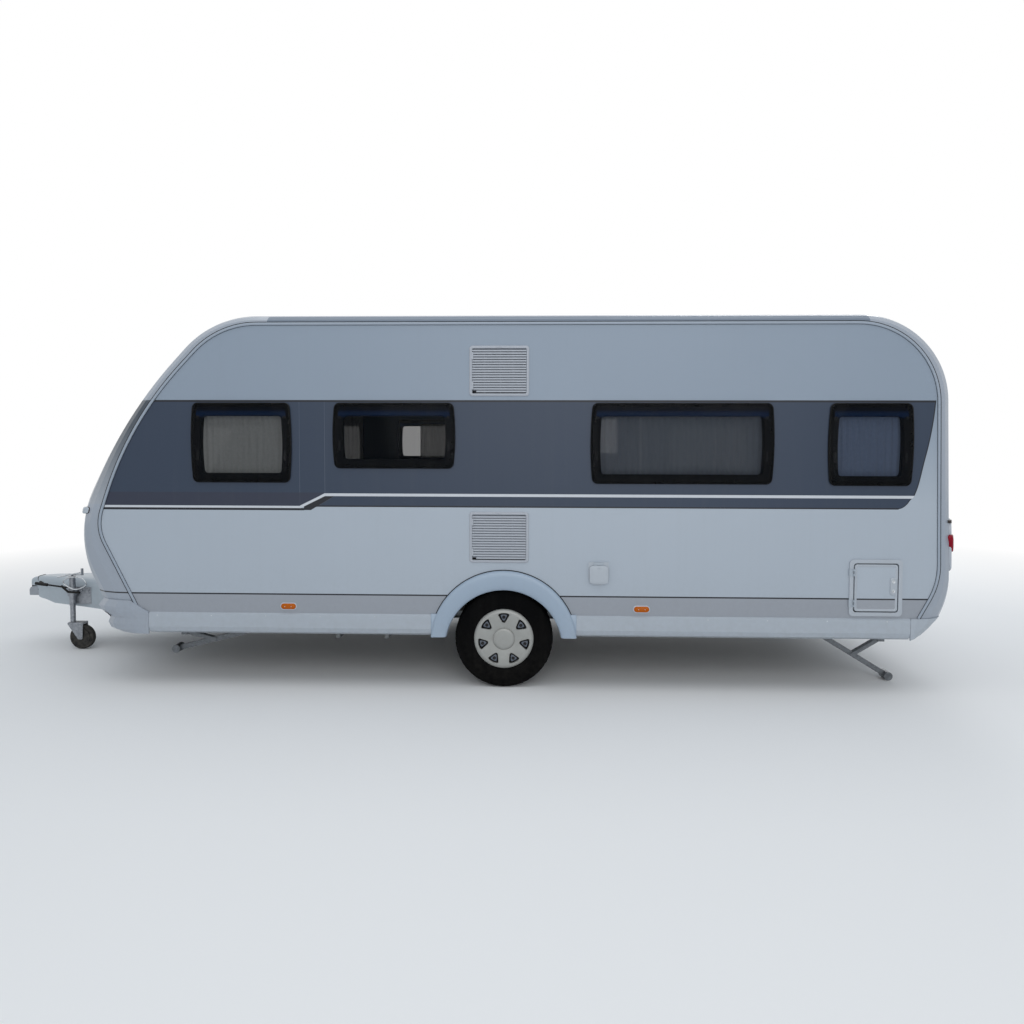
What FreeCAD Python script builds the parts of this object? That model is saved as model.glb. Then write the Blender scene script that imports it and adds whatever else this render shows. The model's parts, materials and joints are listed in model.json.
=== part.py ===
"""Travel caravan: a single-axle touring trailer with a cabin, as separate pieces.

Millimetres. +X points to the rear, -Y is the left side, +Z is up. The ground is z = 0 and the
origin lies under the middle of the overall length and width.
"""
import FreeCAD, Part

import math
import os

from FreeCAD import Vector

os.makedirs("parts", exist_ok=True)

# ---------------------------------------------------------------- driving dimensions
DRAWBAR_REACH = 1075.0
BODY_LENGTH = 6072.0
BODY_WIDTH = 2300.0
CAB_WALL = 30.0
FLOOR_BOTTOM_Z = 480.0
FLOOR_THICKNESS = 40.0
ROOF_EDGE_Z = 2507.0
ROOF_WRAP = 75.0
ROOF_CAMBER = 22.0
FRONT_BULGE = 80.0
REAR_BULGE = 12.0
CORNER_DEPTH = 160.0
TAIL_LAMP_STANDOUT = 28.0
NOSE_TO_AXLE = 3020.0
SEAT_GAP = 0.3
MOVING_GAP = 7.0

WHEEL_INSET = 45.0
TYRE_DIAMETER = 684.0
TYRE_WIDTH = 195.0
RIM_DIAMETER = 381.0
RIM_WIDTH = 165.0
RIM_WALL = 5.0
RIM_FLANGE = 17.0
HUBCAP_DIAMETER = RIM_DIAMETER + 2 * RIM_FLANGE - 1.0
HUBCAP_OPENINGS = 7
HUB_RADIUS = 60.0
DRUM_RADIUS = 115.0

RAIL_HEIGHT = 125.0
RAIL_FLANGE = 45.0
RAIL_WALL = 5.0
RAIL_Y = 500.0
DRAWBAR_TIP_Y = 50.0
RAIL_REAR_SETBACK = 330.0
AXLE_BEAM_SIZE = 90.0

# ---------------------------------------------------------------- places worked out from them
OVERALL_LENGTH = DRAWBAR_REACH + BODY_LENGTH + TAIL_LAMP_STANDOUT
HALF_WIDTH = BODY_WIDTH / 2
NOSE_TIP_X = -OVERALL_LENGTH / 2
NOSE_X = NOSE_TIP_X + DRAWBAR_REACH
WAIST_X = NOSE_X + BODY_LENGTH
AXLE_X = NOSE_X + NOSE_TO_AXLE
AXLE_Z = TYRE_DIAMETER / 2
FLOOR_TOP_Z = FLOOR_BOTTOM_Z + FLOOR_THICKNESS
SHOULDER_Y = HALF_WIDTH - CORNER_DEPTH
INNER_Y = HALF_WIDTH - CAB_WALL
WHEEL_Y = HALF_WIDTH - WHEEL_INSET - TYRE_WIDTH / 2
LEFT, RIGHT = -1, 1
SIDES = (("left", LEFT), ("right", RIGHT))


# ---------------------------------------------------------------- building blocks
def box(x0, x1, y0, y1, z0, z1):
    low = Vector(min(x0, x1), min(y0, y1), min(z0, z1))
    return Part.makeBox(abs(x1 - x0), abs(y1 - y0), abs(z1 - z0), low)


def rod(start, end, radius):
    start, end = Vector(*start), Vector(*end)
    return Part.makeCylinder(radius, start.distanceToPoint(end), start, end - start)


def tube(start, end, radius, bore):
    return rod(start, end, radius).cut(rod(start, end, bore))


def rounded_wire(corners, place):
    """Closed wire through corners (u, v, radius) with tangent arcs; place maps (u, v) to a point."""
    count = len(corners)
    starts, ends, middles = [], [], []
    for i, (u, v, radius) in enumerate(corners):
        here = Vector(u, v, 0)
        before = Vector(*corners[i - 1][:2], 0) - here
        after = Vector(*corners[(i + 1) % count][:2], 0) - here
        before.normalize()
        after.normalize()
        if radius <= 0:
            starts.append(here)
            ends.append(here)
            middles.append(None)
            continue
        half = before.getAngle(after) / 2
        reach = radius / math.tan(half)
        starts.append(here + before * reach)
        ends.append(here + after * reach)
        bisector = before + after
        bisector.normalize()
        middles.append(here + bisector * (radius / math.sin(half) - radius))
    edges = []
    for i in range(count):
        if middles[i] is not None:
            arc = [place(p.x, p.y) for p in (starts[i], middles[i], ends[i])]
            edges.append(Part.Arc(*arc).toShape())
        a, b = ends[i], starts[(i + 1) % count]
        if a.distanceToPoint(b) > 1e-6:
            edges.append(Part.LineSegment(place(a.x, a.y), place(b.x, b.y)).toShape())
    return Part.Wire(edges)


def prism_y(corners, y0, y1):
    wire = rounded_wire(corners, lambda x, z: Vector(x, y0, z))
    return Part.Face(wire).extrude(Vector(0, y1 - y0, 0))


def prism_x(corners, x0, x1):
    wire = rounded_wire(corners, lambda y, z: Vector(x0, y, z))
    return Part.Face(wire).extrude(Vector(x1 - x0, 0, 0))


def prism_z(corners, z0, z1):
    wire = rounded_wire(corners, lambda x, y: Vector(x, y, z0))
    return Part.Face(wire).extrude(Vector(0, 0, z1 - z0))


def rectangle(u, v, width, height, radius):
    """Corners of a rounded rectangle about (u, v)."""
    a, b = width / 2, height / 2
    return [(u - a, v - b, radius), (u + a, v - b, radius), (u + a, v + b, radius), (u - a, v + b, radius)]


def square(*flat):
    """Corners with no rounding."""
    return [(u, v, 0) for u, v in flat]


def inset_corners(corners, distances):
    """Corners of a clockwise-from-front outline with edge i (corner i to i + 1) moved in."""
    lines = []
    count = len(corners)
    for i in range(count):
        a = Vector(*corners[i][:2], 0)
        b = Vector(*corners[(i + 1) % count][:2], 0)
        along = b - a
        along.normalize()
        inward = Vector(along.y, -along.x, 0)
        lines.append((a + inward * distances[i], along))
    result = []
    for i in range(count):
        (p, d), (q, e) = lines[i - 1], lines[i]
        cross = d.x * e.y - d.y * e.x
        t = ((q.x - p.x) * e.y - (q.y - p.y) * e.x) / cross
        radius = corners[i][2]
        if radius > 0:
            radius -= max(0.0, (distances[i - 1] + distances[i]) / 2)
        result.append((p.x + d.x * t, p.y + d.y * t, radius))
    return result


def mirrored(shape):
    return shape.mirror(Vector(0, 0, 0), Vector(0, 1, 0))


def on_side(shape, side):
    """A shape drawn for the right side, on either side."""
    return shape if side == RIGHT else mirrored(shape)


def save(name, *shapes):
    solids = [solid for shape in shapes for solid in shape.Solids]
    node = solids[0] if len(solids) == 1 else Part.makeCompound(solids)
    node.exportStep("parts/" + name + ".step")


# ---------------------------------------------------------------- body outline
NOSE_SIDE_Z = 1109.0
NOSE_Z = 1040.0
BROW_SIDE_Z = 1833.0
BROW_Z = 1936.0
WAIST_SIDE_Z = 761.0
WAIST_Z = 660.0
BODY_CORNERS = (
    # end x, at the side wall: (from end, z, radius), at the shoulder: (from end, z, radius), camber
    (NOSE_X, (505.0, FLOOR_BOTTOM_Z, 0.0), (205.0, FLOOR_BOTTOM_Z, 0.0), 0.0),
    (NOSE_X, (190.0, NOSE_SIDE_Z, 300.0), (-64.0, NOSE_Z, 780.0), 0.0),
    (NOSE_X, (429.0, BROW_SIDE_Z, 2400.0), (385.0, BROW_Z, 3300.0), 0.0),
    (NOSE_X, (1070.0, ROOF_EDGE_Z, 600.0), (985.0, ROOF_EDGE_Z + ROOF_WRAP, 700.0), ROOF_CAMBER),
    (WAIST_X, (-162.0, ROOF_EDGE_Z, 540.0), (-46.0, ROOF_EDGE_Z + ROOF_WRAP, 600.0), ROOF_CAMBER),
    (WAIST_X, (-119.0, WAIST_SIDE_Z, 470.0), (18.0, WAIST_Z, 600.0), 0.0),
    (WAIST_X, (-271.0, FLOOR_BOTTOM_Z, 0.0), (-62.0, FLOOR_BOTTOM_Z, 0.0), 0.0),
)
CORNER_STEPS = 4
BULGE_STEPS = 3


def outline(wrap, bulge):
    """Body outline (x, z, radius). wrap runs from 0 at the side wall to 1 at the shoulder."""
    corners = []
    for end_x, side, shoulder, camber in BODY_CORNERS:
        x, z, radius = (a + (b - a) * wrap for a, b in zip(side, shoulder))
        swell = -FRONT_BULGE if end_x == NOSE_X else REAR_BULGE
        corners.append((end_x + x + swell * bulge, z + camber * bulge, radius))
    return corners


def stations(half_width, depth):
    """(y, wrap, bulge) of the sections from the left side wall to the right one."""
    half = []
    for step in range(CORNER_STEPS + 1):
        angle = math.pi / 2 * step / CORNER_STEPS
        half.append((half_width - depth * (1 - math.cos(angle)), math.sin(angle), 0.0))
    shoulder = half_width - depth
    for step in range(1, BULGE_STEPS + 1):
        y = shoulder * (1 - step / BULGE_STEPS)
        half.append((y, 1.0, 1 - (y / shoulder) ** 2))
    left = [(-y, wrap, bulge) for y, wrap, bulge in half]
    return left + half[-2::-1]


def loft_across(sections):
    """Ruled solid through (corners, y) sections."""
    wires = []
    for corners, y in sections:
        wires.append(rounded_wire(corners, lambda x, z, y=y: Vector(x, y, z)))
    return Part.makeLoft(wires, True, True)


BELOW_FLOOR = -60.0
# wall thickness under each edge of the outline; the foot edge is open
WALL_INSETS = (CAB_WALL,) * (len(BODY_CORNERS) - 1) + (BELOW_FLOOR,)


def side_outline(inset=0.0, foot=0.0):
    distances = [inset] * (len(BODY_CORNERS) - 1) + [foot]
    return inset_corners(outline(0.0, 0.0), distances)


def inside_block(clearance):
    """Solid that fills the cabin, smaller than it by the clearance."""
    insets = [inset + clearance for inset in WALL_INSETS[:-1]] + [BELOW_FLOOR]
    depth = CORNER_DEPTH - CAB_WALL
    return loft_across([(inset_corners(outline(w, b), insets), y)
                        for y, w, b in stations(INNER_Y - clearance, depth)])


outer_body = loft_across([(outline(w, b), y) for y, w, b in stations(HALF_WIDTH, CORNER_DEPTH)])
room = inside_block(SEAT_GAP)


def body_shell():
    return outer_body.cut(inside_block(0.0))


def skin(out, thickness, y_range, z_range):
    """Skin lying outside the front of the body by out, thickness thick, inside the given ranges."""
    def grown(distance):
        insets = [-distance] * (len(BODY_CORNERS) - 1) + [0.0]
        return loft_across([(inset_corners(outline(w, b), insets), y)
                            for y, w, b in stations(HALF_WIDTH, CORNER_DEPTH)])
    window = box(NOSE_X - 400, 0, y_range[0], y_range[1], z_range[0], z_range[1])
    return grown(out + thickness).cut(grown(out)).common(window)


# ---------------------------------------------------------------- walls, roof, front and rear
FRONT_SEAM_X = NOSE_X + 1400.0
REAR_SEAM_X = WAIST_X - 610.0
FRONT_PANEL_FOOT_Z = 600.0
REAR_PANEL_FOOT_Z = 520.0
LOCKER_LID_HALF_WIDTH = SHOULDER_Y - 230.0
LOCKER_LID_Z = (650.0, 1175.0)
FRONT_WINDOW_HALF_WIDTH = SHOULDER_Y - 60.0
FRONT_WINDOW_Z = (1320.0, 1950.0)
WINDOW_REBATE = 34.0
WINDOW_FRAME_DEPTH = 14.0
PANE_THICKNESS = 6.0
WINDOW_HEAD_Z = 1972.0
WINDOW_RADIUS = 44.0
WINDOW_HOLE_MARGIN = 22.0
WINDOW_BOW = 14.0
WINDOW_BOW_SHARE = 0.85
PANE_DOME = 14.0
PANE_SLOPE = 55.0

WINDOWS = (
    # side, centre x, width, height
    (LEFT, NOSE_X + 1216.0, 680.0, 547.0),
    (LEFT, NOSE_X + 2269.0, 822.0, 448.0),
    (LEFT, WAIST_X - 1849.0, 1214.0, 547.0),
    (LEFT, WAIST_X - 593.0, 548.0, 554.0),
    (RIGHT, NOSE_X + 1216.0, 680.0, 547.0),
    (RIGHT, NOSE_X + 2269.0, 822.0, 448.0),
    (RIGHT, WAIST_X - 1072.0, 1000.0, 547.0),
)
DOOR_FRONT_X = WAIST_X - 2432.0
DOOR_WIDTH = 640.0
DOOR_Z = (545.0, 2340.0)
DOOR_RADIUS = 60.0
DOOR_MID = (DOOR_FRONT_X + DOOR_WIDTH / 2, sum(DOOR_Z) / 2)
DOOR_HEIGHT = DOOR_Z[1] - DOOR_Z[0]

ARCH_RADIUS = 402.0
ARCH_CENTRE_Z = 290.0
ARCH_BAND_RADIUS = 504.0
ARCH_BAND_CENTRE_Z = 323.0
ARCH_STANDOUT = 30.0

HATCH_SIZE = (353.0, 385.0)
HATCH_CENTRE = (WAIST_X - 538.0, 729.0)
HATCH_FRAME = 26.0
INLET_CENTRE = (AXLE_X + 649.0, 812.0)
INLET_SIZE = (141.0, 157.0)
INLET_POCKET = (104.0, 96.0)
INLET_POCKET_DEPTH = 22.0
VENT_X = NOSE_X + 2988.0
VENT_WIDTH = 406.0
VENTS = ((2187.0, 340.0), (1055.0, 348.0))
VENT_BORDER = 16.0


def window_place(window):
    side, x, width, height = window
    return side, x, WINDOW_HEAD_Z - height / 2, width, height


def arch_cut():
    return rod((AXLE_X, INNER_Y - 10, ARCH_CENTRE_Z), (AXLE_X, HALF_WIDTH + 60, ARCH_CENTRE_Z), ARCH_RADIUS + 8)


def side_wall(side):
    """One flat side wall, drawn on the right, with its windows and openings cut."""
    wall = prism_y(side_outline(), INNER_Y, HALF_WIDTH)
    cuts = [arch_cut()]
    for window in WINDOWS:
        where, x, z, width, height = window_place(window)
        if where == side:
            hole = rectangle(x, z, width - 2 * WINDOW_HOLE_MARGIN, height - 2 * WINDOW_HOLE_MARGIN,
                             WINDOW_RADIUS - WINDOW_HOLE_MARGIN)
            cuts.append(prism_y(hole, INNER_Y - 10, HALF_WIDTH + 10))
    if side == RIGHT:
        cuts.append(prism_y(rectangle(*DOOR_MID, DOOR_WIDTH, DOOR_HEIGHT, DOOR_RADIUS), INNER_Y - 10, HALF_WIDTH + 10))
    else:
        hatch = rectangle(*HATCH_CENTRE, HATCH_SIZE[0] - 2 * HATCH_FRAME, HATCH_SIZE[1] - 2 * HATCH_FRAME, 20)
        cuts.append(prism_y(hatch, INNER_Y - 10, HALF_WIDTH + 10))
        pocket = rectangle(*INLET_CENTRE, *INLET_POCKET, 18)
        cuts.append(prism_y(pocket, HALF_WIDTH - INLET_POCKET_DEPTH, HALF_WIDTH + 10))
        for z, height in VENTS:
            vent = rectangle(VENT_X, z, VENT_WIDTH - 2 * VENT_BORDER, height - 2 * VENT_BORDER, 4)
            cuts.append(prism_y(vent, HALF_WIDTH - INLET_POCKET_DEPTH, HALF_WIDTH + 10))
    return on_side(wall.cut(Part.makeCompound(cuts)), side)


def outer_panels():
    """Front, roof and rear: the shell outside the side walls' outline, split at its seams."""
    shell = body_shell()
    ends = [prism_y(side_outline(), INNER_Y, HALF_WIDTH + 10)]
    ends.append(mirrored(ends[0]))
    ring = shell.cut(Part.makeCompound(ends))
    far = 2 * OVERALL_LENGTH
    front = ring.common(box(-far, FRONT_SEAM_X, -far, far, FRONT_PANEL_FOOT_Z, far))
    roof = ring.common(box(FRONT_SEAM_X, REAR_SEAM_X, -far, far, ROOF_EDGE_Z - 200, far))
    rear = ring.common(box(REAR_SEAM_X, far, -far, far, REAR_PANEL_FOOT_Z, far))
    return front, roof, rear


def front_block(half_width, z_range, margin=0.0):
    return box(NOSE_X - 400, NOSE_X + 900, -half_width - margin, half_width + margin,
               z_range[0] - margin, z_range[1] + margin)


ROOF_HATCHES = (
    # centre x, y, opening length, opening width
    (NOSE_X + 3300.0, 0.0, 700.0, 500.0),
    (WAIST_X - 892.0, 0.0, 400.0, 400.0),
)


def roof_strips(roof):
    """The roof sheet with its hatches cut out, and a joint across it at both ends of each hatch."""
    half = BODY_WIDTH
    heights = (ROOF_EDGE_Z - 200, ROOF_EDGE_Z + 300)
    cuts = []
    for x, y, length, width in ROOF_HATCHES:
        front, rear = x - length / 2, x + length / 2
        cuts.append(box(front, rear, y - width / 2, y + width / 2, *heights))
        cuts.append(box(front - SEAT_GAP, front, -half, half, *heights))
        cuts.append(box(rear, rear + SEAT_GAP, -half, half, *heights))
    return roof.cut(Part.makeCompound(cuts))


front_shell, roof_shell, rear_shell = outer_panels()
lid_blank = front_shell.common(front_block(LOCKER_LID_HALF_WIDTH, LOCKER_LID_Z))
front_shell = front_shell.cut(front_block(LOCKER_LID_HALF_WIDTH, LOCKER_LID_Z, MOVING_GAP))
front_shell = front_shell.cut(front_block(FRONT_WINDOW_HALF_WIDTH - 30, FRONT_WINDOW_Z, -30))
save("front_panel", front_shell)
save("roof_panel", roof_strips(roof_shell))
save("rear_panel", rear_shell)
save("side_wall_left", side_wall(LEFT))
save("side_wall_right", side_wall(RIGHT))

front_glass = skin(1.0, PANE_THICKNESS, (-FRONT_WINDOW_HALF_WIDTH, FRONT_WINDOW_HALF_WIDTH), FRONT_WINDOW_Z)
save("front_window", front_glass)

# ---------------------------------------------------------------- side windows
def bowed(x, z, width, height, radius):
    """Corners of a window outline whose two upright sides bow outwards."""
    a, b = width / 2, height / 2
    bow = a + WINDOW_BOW
    curve = WINDOW_BOW_SHARE * (b - 1.2 * radius) * b / WINDOW_BOW
    return [(x - a, z - b, radius), (x + a, z - b, radius), (x + bow, z, curve),
            (x + a, z + b, radius), (x - a, z + b, radius), (x - bow, z, curve)]


def domed(x, z, width, height, radius, inset):
    """Solid under a pane that swells outwards, inset from the pane's outer face."""
    base, rim = HALF_WIDTH + 4, HALF_WIDTH + WINDOW_FRAME_DEPTH - inset
    steps = ((base - inset, inset), (rim, inset), (rim + PANE_DOME, inset + PANE_SLOPE))
    wires = []
    for y, edge in steps:
        corners = bowed(x, z, width - 2 * edge, height - 2 * edge, radius)
        wires.append(rounded_wire(corners, lambda u, v, y=y: Vector(u, y, v)))
    return Part.makeLoft(wires, True, True)


def pane(x, z, clear_w, clear_h):
    size = (clear_w - 2 * SEAT_GAP, clear_h - 2 * SEAT_GAP, WINDOW_PANE_RADIUS)
    return domed(x, z, *size, 0.0).cut(domed(x, z, *size, PANE_THICKNESS))


WINDOW_PANE_RADIUS = WINDOW_RADIUS - 24.0
frames, panes = [], []
for window in WINDOWS:
    side, x, z, width, height = window_place(window)
    clear_w, clear_h = width - 2 * WINDOW_REBATE, height - 2 * WINDOW_REBATE
    ring = prism_y(bowed(x, z, width, height, WINDOW_RADIUS), HALF_WIDTH, HALF_WIDTH + WINDOW_FRAME_DEPTH)
    inner = bowed(x, z, clear_w, clear_h, WINDOW_PANE_RADIUS)
    frames.append(on_side(ring.cut(prism_y(inner, HALF_WIDTH - 1, HALF_WIDTH + 30)), side))
    panes.append(on_side(pane(x, z, clear_w, clear_h), side))
save("window_frames", *frames)
save("window_panes", *panes)

# ---------------------------------------------------------------- edge trims (awning rails)
SKIRT_STANDOUT = 12.0
SKIRT_FOOT_Z = 372.0
SKIRT_TOP_Z = 520.0
SKIRT_WALL = 10.0
FRONT_SKIRT_SEAM_X = NOSE_X + 550.0
REAR_SKIRT_SEAM_X = WAIST_X - 302.0
BUMPER_FOOT_Z = 368.0
# the front skirt's upper edge comes down this line on each side: (from the nose, z)
SKIRT_RAKE = ((420.0, FRONT_PANEL_FOOT_Z), (550.0, SKIRT_TOP_Z))
TRIM_WIDTH = 26.0
TRIM_DEPTH = 10.0


def rake_block(low, high, out):
    """Wedge outside the right wall over the raked line, between two heights from it."""
    corners = [(NOSE_X + x, z + low) for x, z in SKIRT_RAKE]
    corners += [(NOSE_X + x, z + high) for x, z in reversed(SKIRT_RAKE)]
    return prism_y(square(*corners), HALF_WIDTH, HALF_WIDTH + out)


def above_rake(clearance, out):
    return rake_block(clearance, 200.0, out)


def edge_trim():
    outer = prism_y(side_outline(-4.0), HALF_WIDTH, HALF_WIDTH + TRIM_DEPTH)
    inner = prism_y(side_outline(TRIM_WIDTH - 4.0, BELOW_FLOOR), HALF_WIDTH - 1, HALF_WIDTH + TRIM_DEPTH + 1)
    far = 2 * OVERALL_LENGTH
    feet = [rake_block(-200.0, MOVING_GAP / 5, 2 * TRIM_DEPTH), box(AXLE_X, far, 0, far, 0, REAR_PANEL_FOOT_Z)]
    return outer.cut(inner).cut(Part.makeCompound(feet))


save("edge_trims", edge_trim(), mirrored(edge_trim()))

# ---------------------------------------------------------------- skirts and wheel arches
FRONT_SKIRT_OUTLINE = (
    # from the nose at the side, from the nose at the shoulder, z
    (450.0, 160.0, FRONT_PANEL_FOOT_Z - SEAT_GAP),
    (424.0, 118.0, 550.0),
    (428.0, 132.0, 520.0),
    (480.0, 207.0, 473.0),
    (470.0, 187.0, 430.0),
    (495.0, 205.0, 392.0),
    (540.0, 280.0, BUMPER_FOOT_Z),
)
REAR_SKIRT_OUTLINE = (
    # from the waist at the side, from the waist at the shoulder, z
    (-254.0, -46.0, REAR_PANEL_FOOT_Z - SEAT_GAP),
    (-264.0, -70.0, 490.0),
    (-276.0, -104.0, 456.0),
    (-286.0, -145.0, 424.0),
    (-292.0, -180.0, 400.0),
    (-296.0, -222.0, 382.0),
    (-299.0, -275.0, SKIRT_FOOT_Z),
)


def end_skirt(table, end_x, back_x, direction, bulge_size):
    """Hollow bumper wrapped round one end; direction +1 when the inside lies towards +X."""
    def section(wrap, bulge, shift, top, foot):
        points = []
        for at_side, at_shoulder, z in table:
            x = end_x + at_side + (at_shoulder - at_side) * wrap - direction * bulge_size * bulge
            points.append([x + direction * shift, z])
        points[0][1] += top
        points[-1][1] -= foot
        back = back_x + direction * shift
        corners = square(*points, (back, points[-1][1]), (back, points[0][1]))
        return corners if direction > 0 else corners[::-1]
    out_y = HALF_WIDTH + SKIRT_STANDOUT
    outer = loft_across([(section(w, b, 0.0, 0.0, 0.0), y) for y, w, b in stations(out_y, CORNER_DEPTH)])
    inner = loft_across([(section(w, b, 16.0, 40.0, 40.0), y)
                         for y, w, b in stations(out_y - SKIRT_WALL, CORNER_DEPTH - SKIRT_WALL)])
    return outer.cut(inner)


body_block = prism_y(side_outline(), -HALF_WIDTH, HALF_WIDTH)
DRAWBAR_NOTCH_HALF_WIDTH = 375.0
front_skirt = end_skirt(FRONT_SKIRT_OUTLINE, NOSE_X, FRONT_SKIRT_SEAM_X, 1, FRONT_BULGE)
front_skirt = front_skirt.cut(body_block)
front_skirt = front_skirt.cut(box(NOSE_X - 300, NOSE_X + 700, -DRAWBAR_NOTCH_HALF_WIDTH,
                                  DRAWBAR_NOTCH_HALF_WIDTH, 0, 570))
for side in (LEFT, RIGHT):
    front_skirt = front_skirt.cut(on_side(above_rake(0.0, 2 * SKIRT_STANDOUT), side))
save("front_skirt", front_skirt)
rear_skirt = end_skirt(REAR_SKIRT_OUTLINE, WAIST_X, REAR_SKIRT_SEAM_X, -1, -REAR_BULGE)
rear_skirt = rear_skirt.cut(body_block)


def side_skirt():
    out = HALF_WIDTH + SKIRT_STANDOUT
    wall = SKIRT_WALL
    lip = FLOOR_BOTTOM_Z - 12
    profile = square(
        (HALF_WIDTH, SKIRT_TOP_Z), (HALF_WIDTH, FLOOR_BOTTOM_Z), (out - wall, lip),
        (out - wall, SKIRT_FOOT_Z + 52), (out - wall - 10, SKIRT_FOOT_Z + 22),
        (out - wall - 32, SKIRT_FOOT_Z + 10), (out - wall - 46, SKIRT_FOOT_Z + 10),
        (out - wall - 46, SKIRT_FOOT_Z), (out - 36, SKIRT_FOOT_Z), (out - 10, SKIRT_FOOT_Z + 16),
        (out, SKIRT_FOOT_Z + 48), (out, SKIRT_TOP_Z - 10))
    skirt = prism_x(profile, FRONT_SKIRT_SEAM_X + 2, REAR_SKIRT_SEAM_X - 2)
    start = (AXLE_X, INNER_Y - 40, ARCH_BAND_CENTRE_Z)
    end = (AXLE_X, HALF_WIDTH + 60, ARCH_BAND_CENTRE_Z)
    return skirt.cut(rod(start, end, ARCH_BAND_RADIUS + SEAT_GAP))


def arch_band():
    """Flared band round the wheel opening, with a lip turned in to the wheel box."""
    def round_block(centre_z, radius, y0, y1):
        disc = rod((AXLE_X, y0, centre_z), (AXLE_X, y1, centre_z), radius)
        return disc.common(box(AXLE_X - 600, AXLE_X + 600, y0, y1, SKIRT_FOOT_Z - 4, 1000))
    y1 = HALF_WIDTH + ARCH_STANDOUT
    band = round_block(ARCH_BAND_CENTRE_Z, ARCH_BAND_RADIUS, HALF_WIDTH, y1)
    lip = round_block(ARCH_CENTRE_Z, ARCH_RADIUS + 7, INNER_Y - 20, HALF_WIDTH + 2)
    band = band.fuse(lip)
    opening = rod((AXLE_X, INNER_Y - 60, ARCH_CENTRE_Z), (AXLE_X, y1 + 1, ARCH_CENTRE_Z), ARCH_RADIUS)
    return band.cut(opening).removeSplitter()


save("skirts", rear_skirt, side_skirt(), mirrored(side_skirt()))
save("wheel_arches", arch_band(), mirrored(arch_band()))

# ---------------------------------------------------------------- floor and wheel boxes
WHEEL_BOX_LENGTH = 880.0
WHEEL_BOX_CLEARANCE = 60.0
WHEEL_BOX_INNER_Y = WHEEL_Y - TYRE_WIDTH / 2 - WHEEL_BOX_CLEARANCE
WHEEL_BOX_TOP_Z = 730.0
WHEEL_BOX_WALL = 12.0

FLOOR_REAR_X = WAIST_X - 320.0
FLOOR_TONGUE = (130.0, 900.0)
floor = room.common(box(NOSE_X, FLOOR_REAR_X, -INNER_Y, INNER_Y, FLOOR_BOTTOM_Z, FLOOR_TOP_Z))
floor = floor.fuse(box(FLOOR_REAR_X - 1, FLOOR_REAR_X + FLOOR_TONGUE[0], -FLOOR_TONGUE[1], FLOOR_TONGUE[1],
                       FLOOR_BOTTOM_Z, FLOOR_TOP_Z)).removeSplitter()
wheel_boxes = []
for name, side in SIDES:
    x0, x1 = AXLE_X - WHEEL_BOX_LENGTH / 2, AXLE_X + WHEEL_BOX_LENGTH / 2
    well = box(x0, x1, side * WHEEL_BOX_INNER_Y, side * INNER_Y, FLOOR_BOTTOM_Z - 100, WHEEL_BOX_TOP_Z)
    floor = floor.cut(well)
    t = WHEEL_BOX_WALL
    hollow = box(x0 + t, x1 - t, side * (WHEEL_BOX_INNER_Y + t), side * (INNER_Y + 50),
                 FLOOR_BOTTOM_Z - 200, WHEEL_BOX_TOP_Z - t)
    lip = rod((AXLE_X, 0, ARCH_CENTRE_Z), (AXLE_X, side * 1300, ARCH_CENTRE_Z), ARCH_RADIUS + 7 + SEAT_GAP)
    shell = well.common(box(x0, x1, -INNER_Y, INNER_Y, FLOOR_BOTTOM_Z, WHEEL_BOX_TOP_Z)).cut(hollow)
    wheel_boxes.append(shell.cut(lip))
save("floor_panel", floor)
save("wheel_boxes", *wheel_boxes)

# ---------------------------------------------------------------- chassis
RAIL_TOP_Z = FLOOR_BOTTOM_Z
RAIL_FOOT_Z = RAIL_TOP_Z - RAIL_HEIGHT
KNEE_X = NOSE_X + 900.0
DRAWBAR_TIP_X = NOSE_TIP_X + 250.0
RAIL_REAR_X = WAIST_X - RAIL_REAR_SETBACK


def channel_path(points, y_out):
    """Channel rail along plan points (x, y) of its web; y_out is the side its flanges point away from."""
    def strip(inner, outer, z0, z1):
        left = [(x, y + inner, 0) for x, y in points]
        right = [(x, y + outer, 0) for x, y in reversed(points)]
        return prism_z(left + right, z0, z1)
    web = strip(0, RAIL_WALL * y_out, RAIL_FOOT_Z, RAIL_TOP_Z)
    foot = strip(0, -RAIL_FLANGE * y_out, RAIL_FOOT_Z, RAIL_FOOT_Z + RAIL_WALL)
    head = strip(0, -RAIL_FLANGE * y_out, RAIL_TOP_Z - RAIL_WALL, RAIL_TOP_Z)
    return web.fuse([foot, head]).removeSplitter()


def chassis_rail(side):
    return channel_path([(KNEE_X + 2, side * RAIL_Y), (RAIL_REAR_X, side * RAIL_Y)], -side)


def drawbar_rail(side):
    return channel_path([(DRAWBAR_TIP_X, side * DRAWBAR_TIP_Y), (KNEE_X, side * RAIL_Y)], -side)


MOUNT_HOLE_RADIUS = 6.5
MOUNT_HOLE_SPACING = 300.0
MOUNT_HOLE_X = AXLE_X - 700.0
rails = []
for name, side in SIDES:
    rail = chassis_rail(side)
    for step in (-0.5, 0.5):
        x = MOUNT_HOLE_X + step * MOUNT_HOLE_SPACING
        z = RAIL_FOOT_Z + RAIL_HEIGHT / 2
        rail = rail.cut(rod((x, side * (RAIL_Y - 20), z), (x, side * (RAIL_Y + 20), z), MOUNT_HOLE_RADIUS))
    rails.append(rail)

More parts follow.
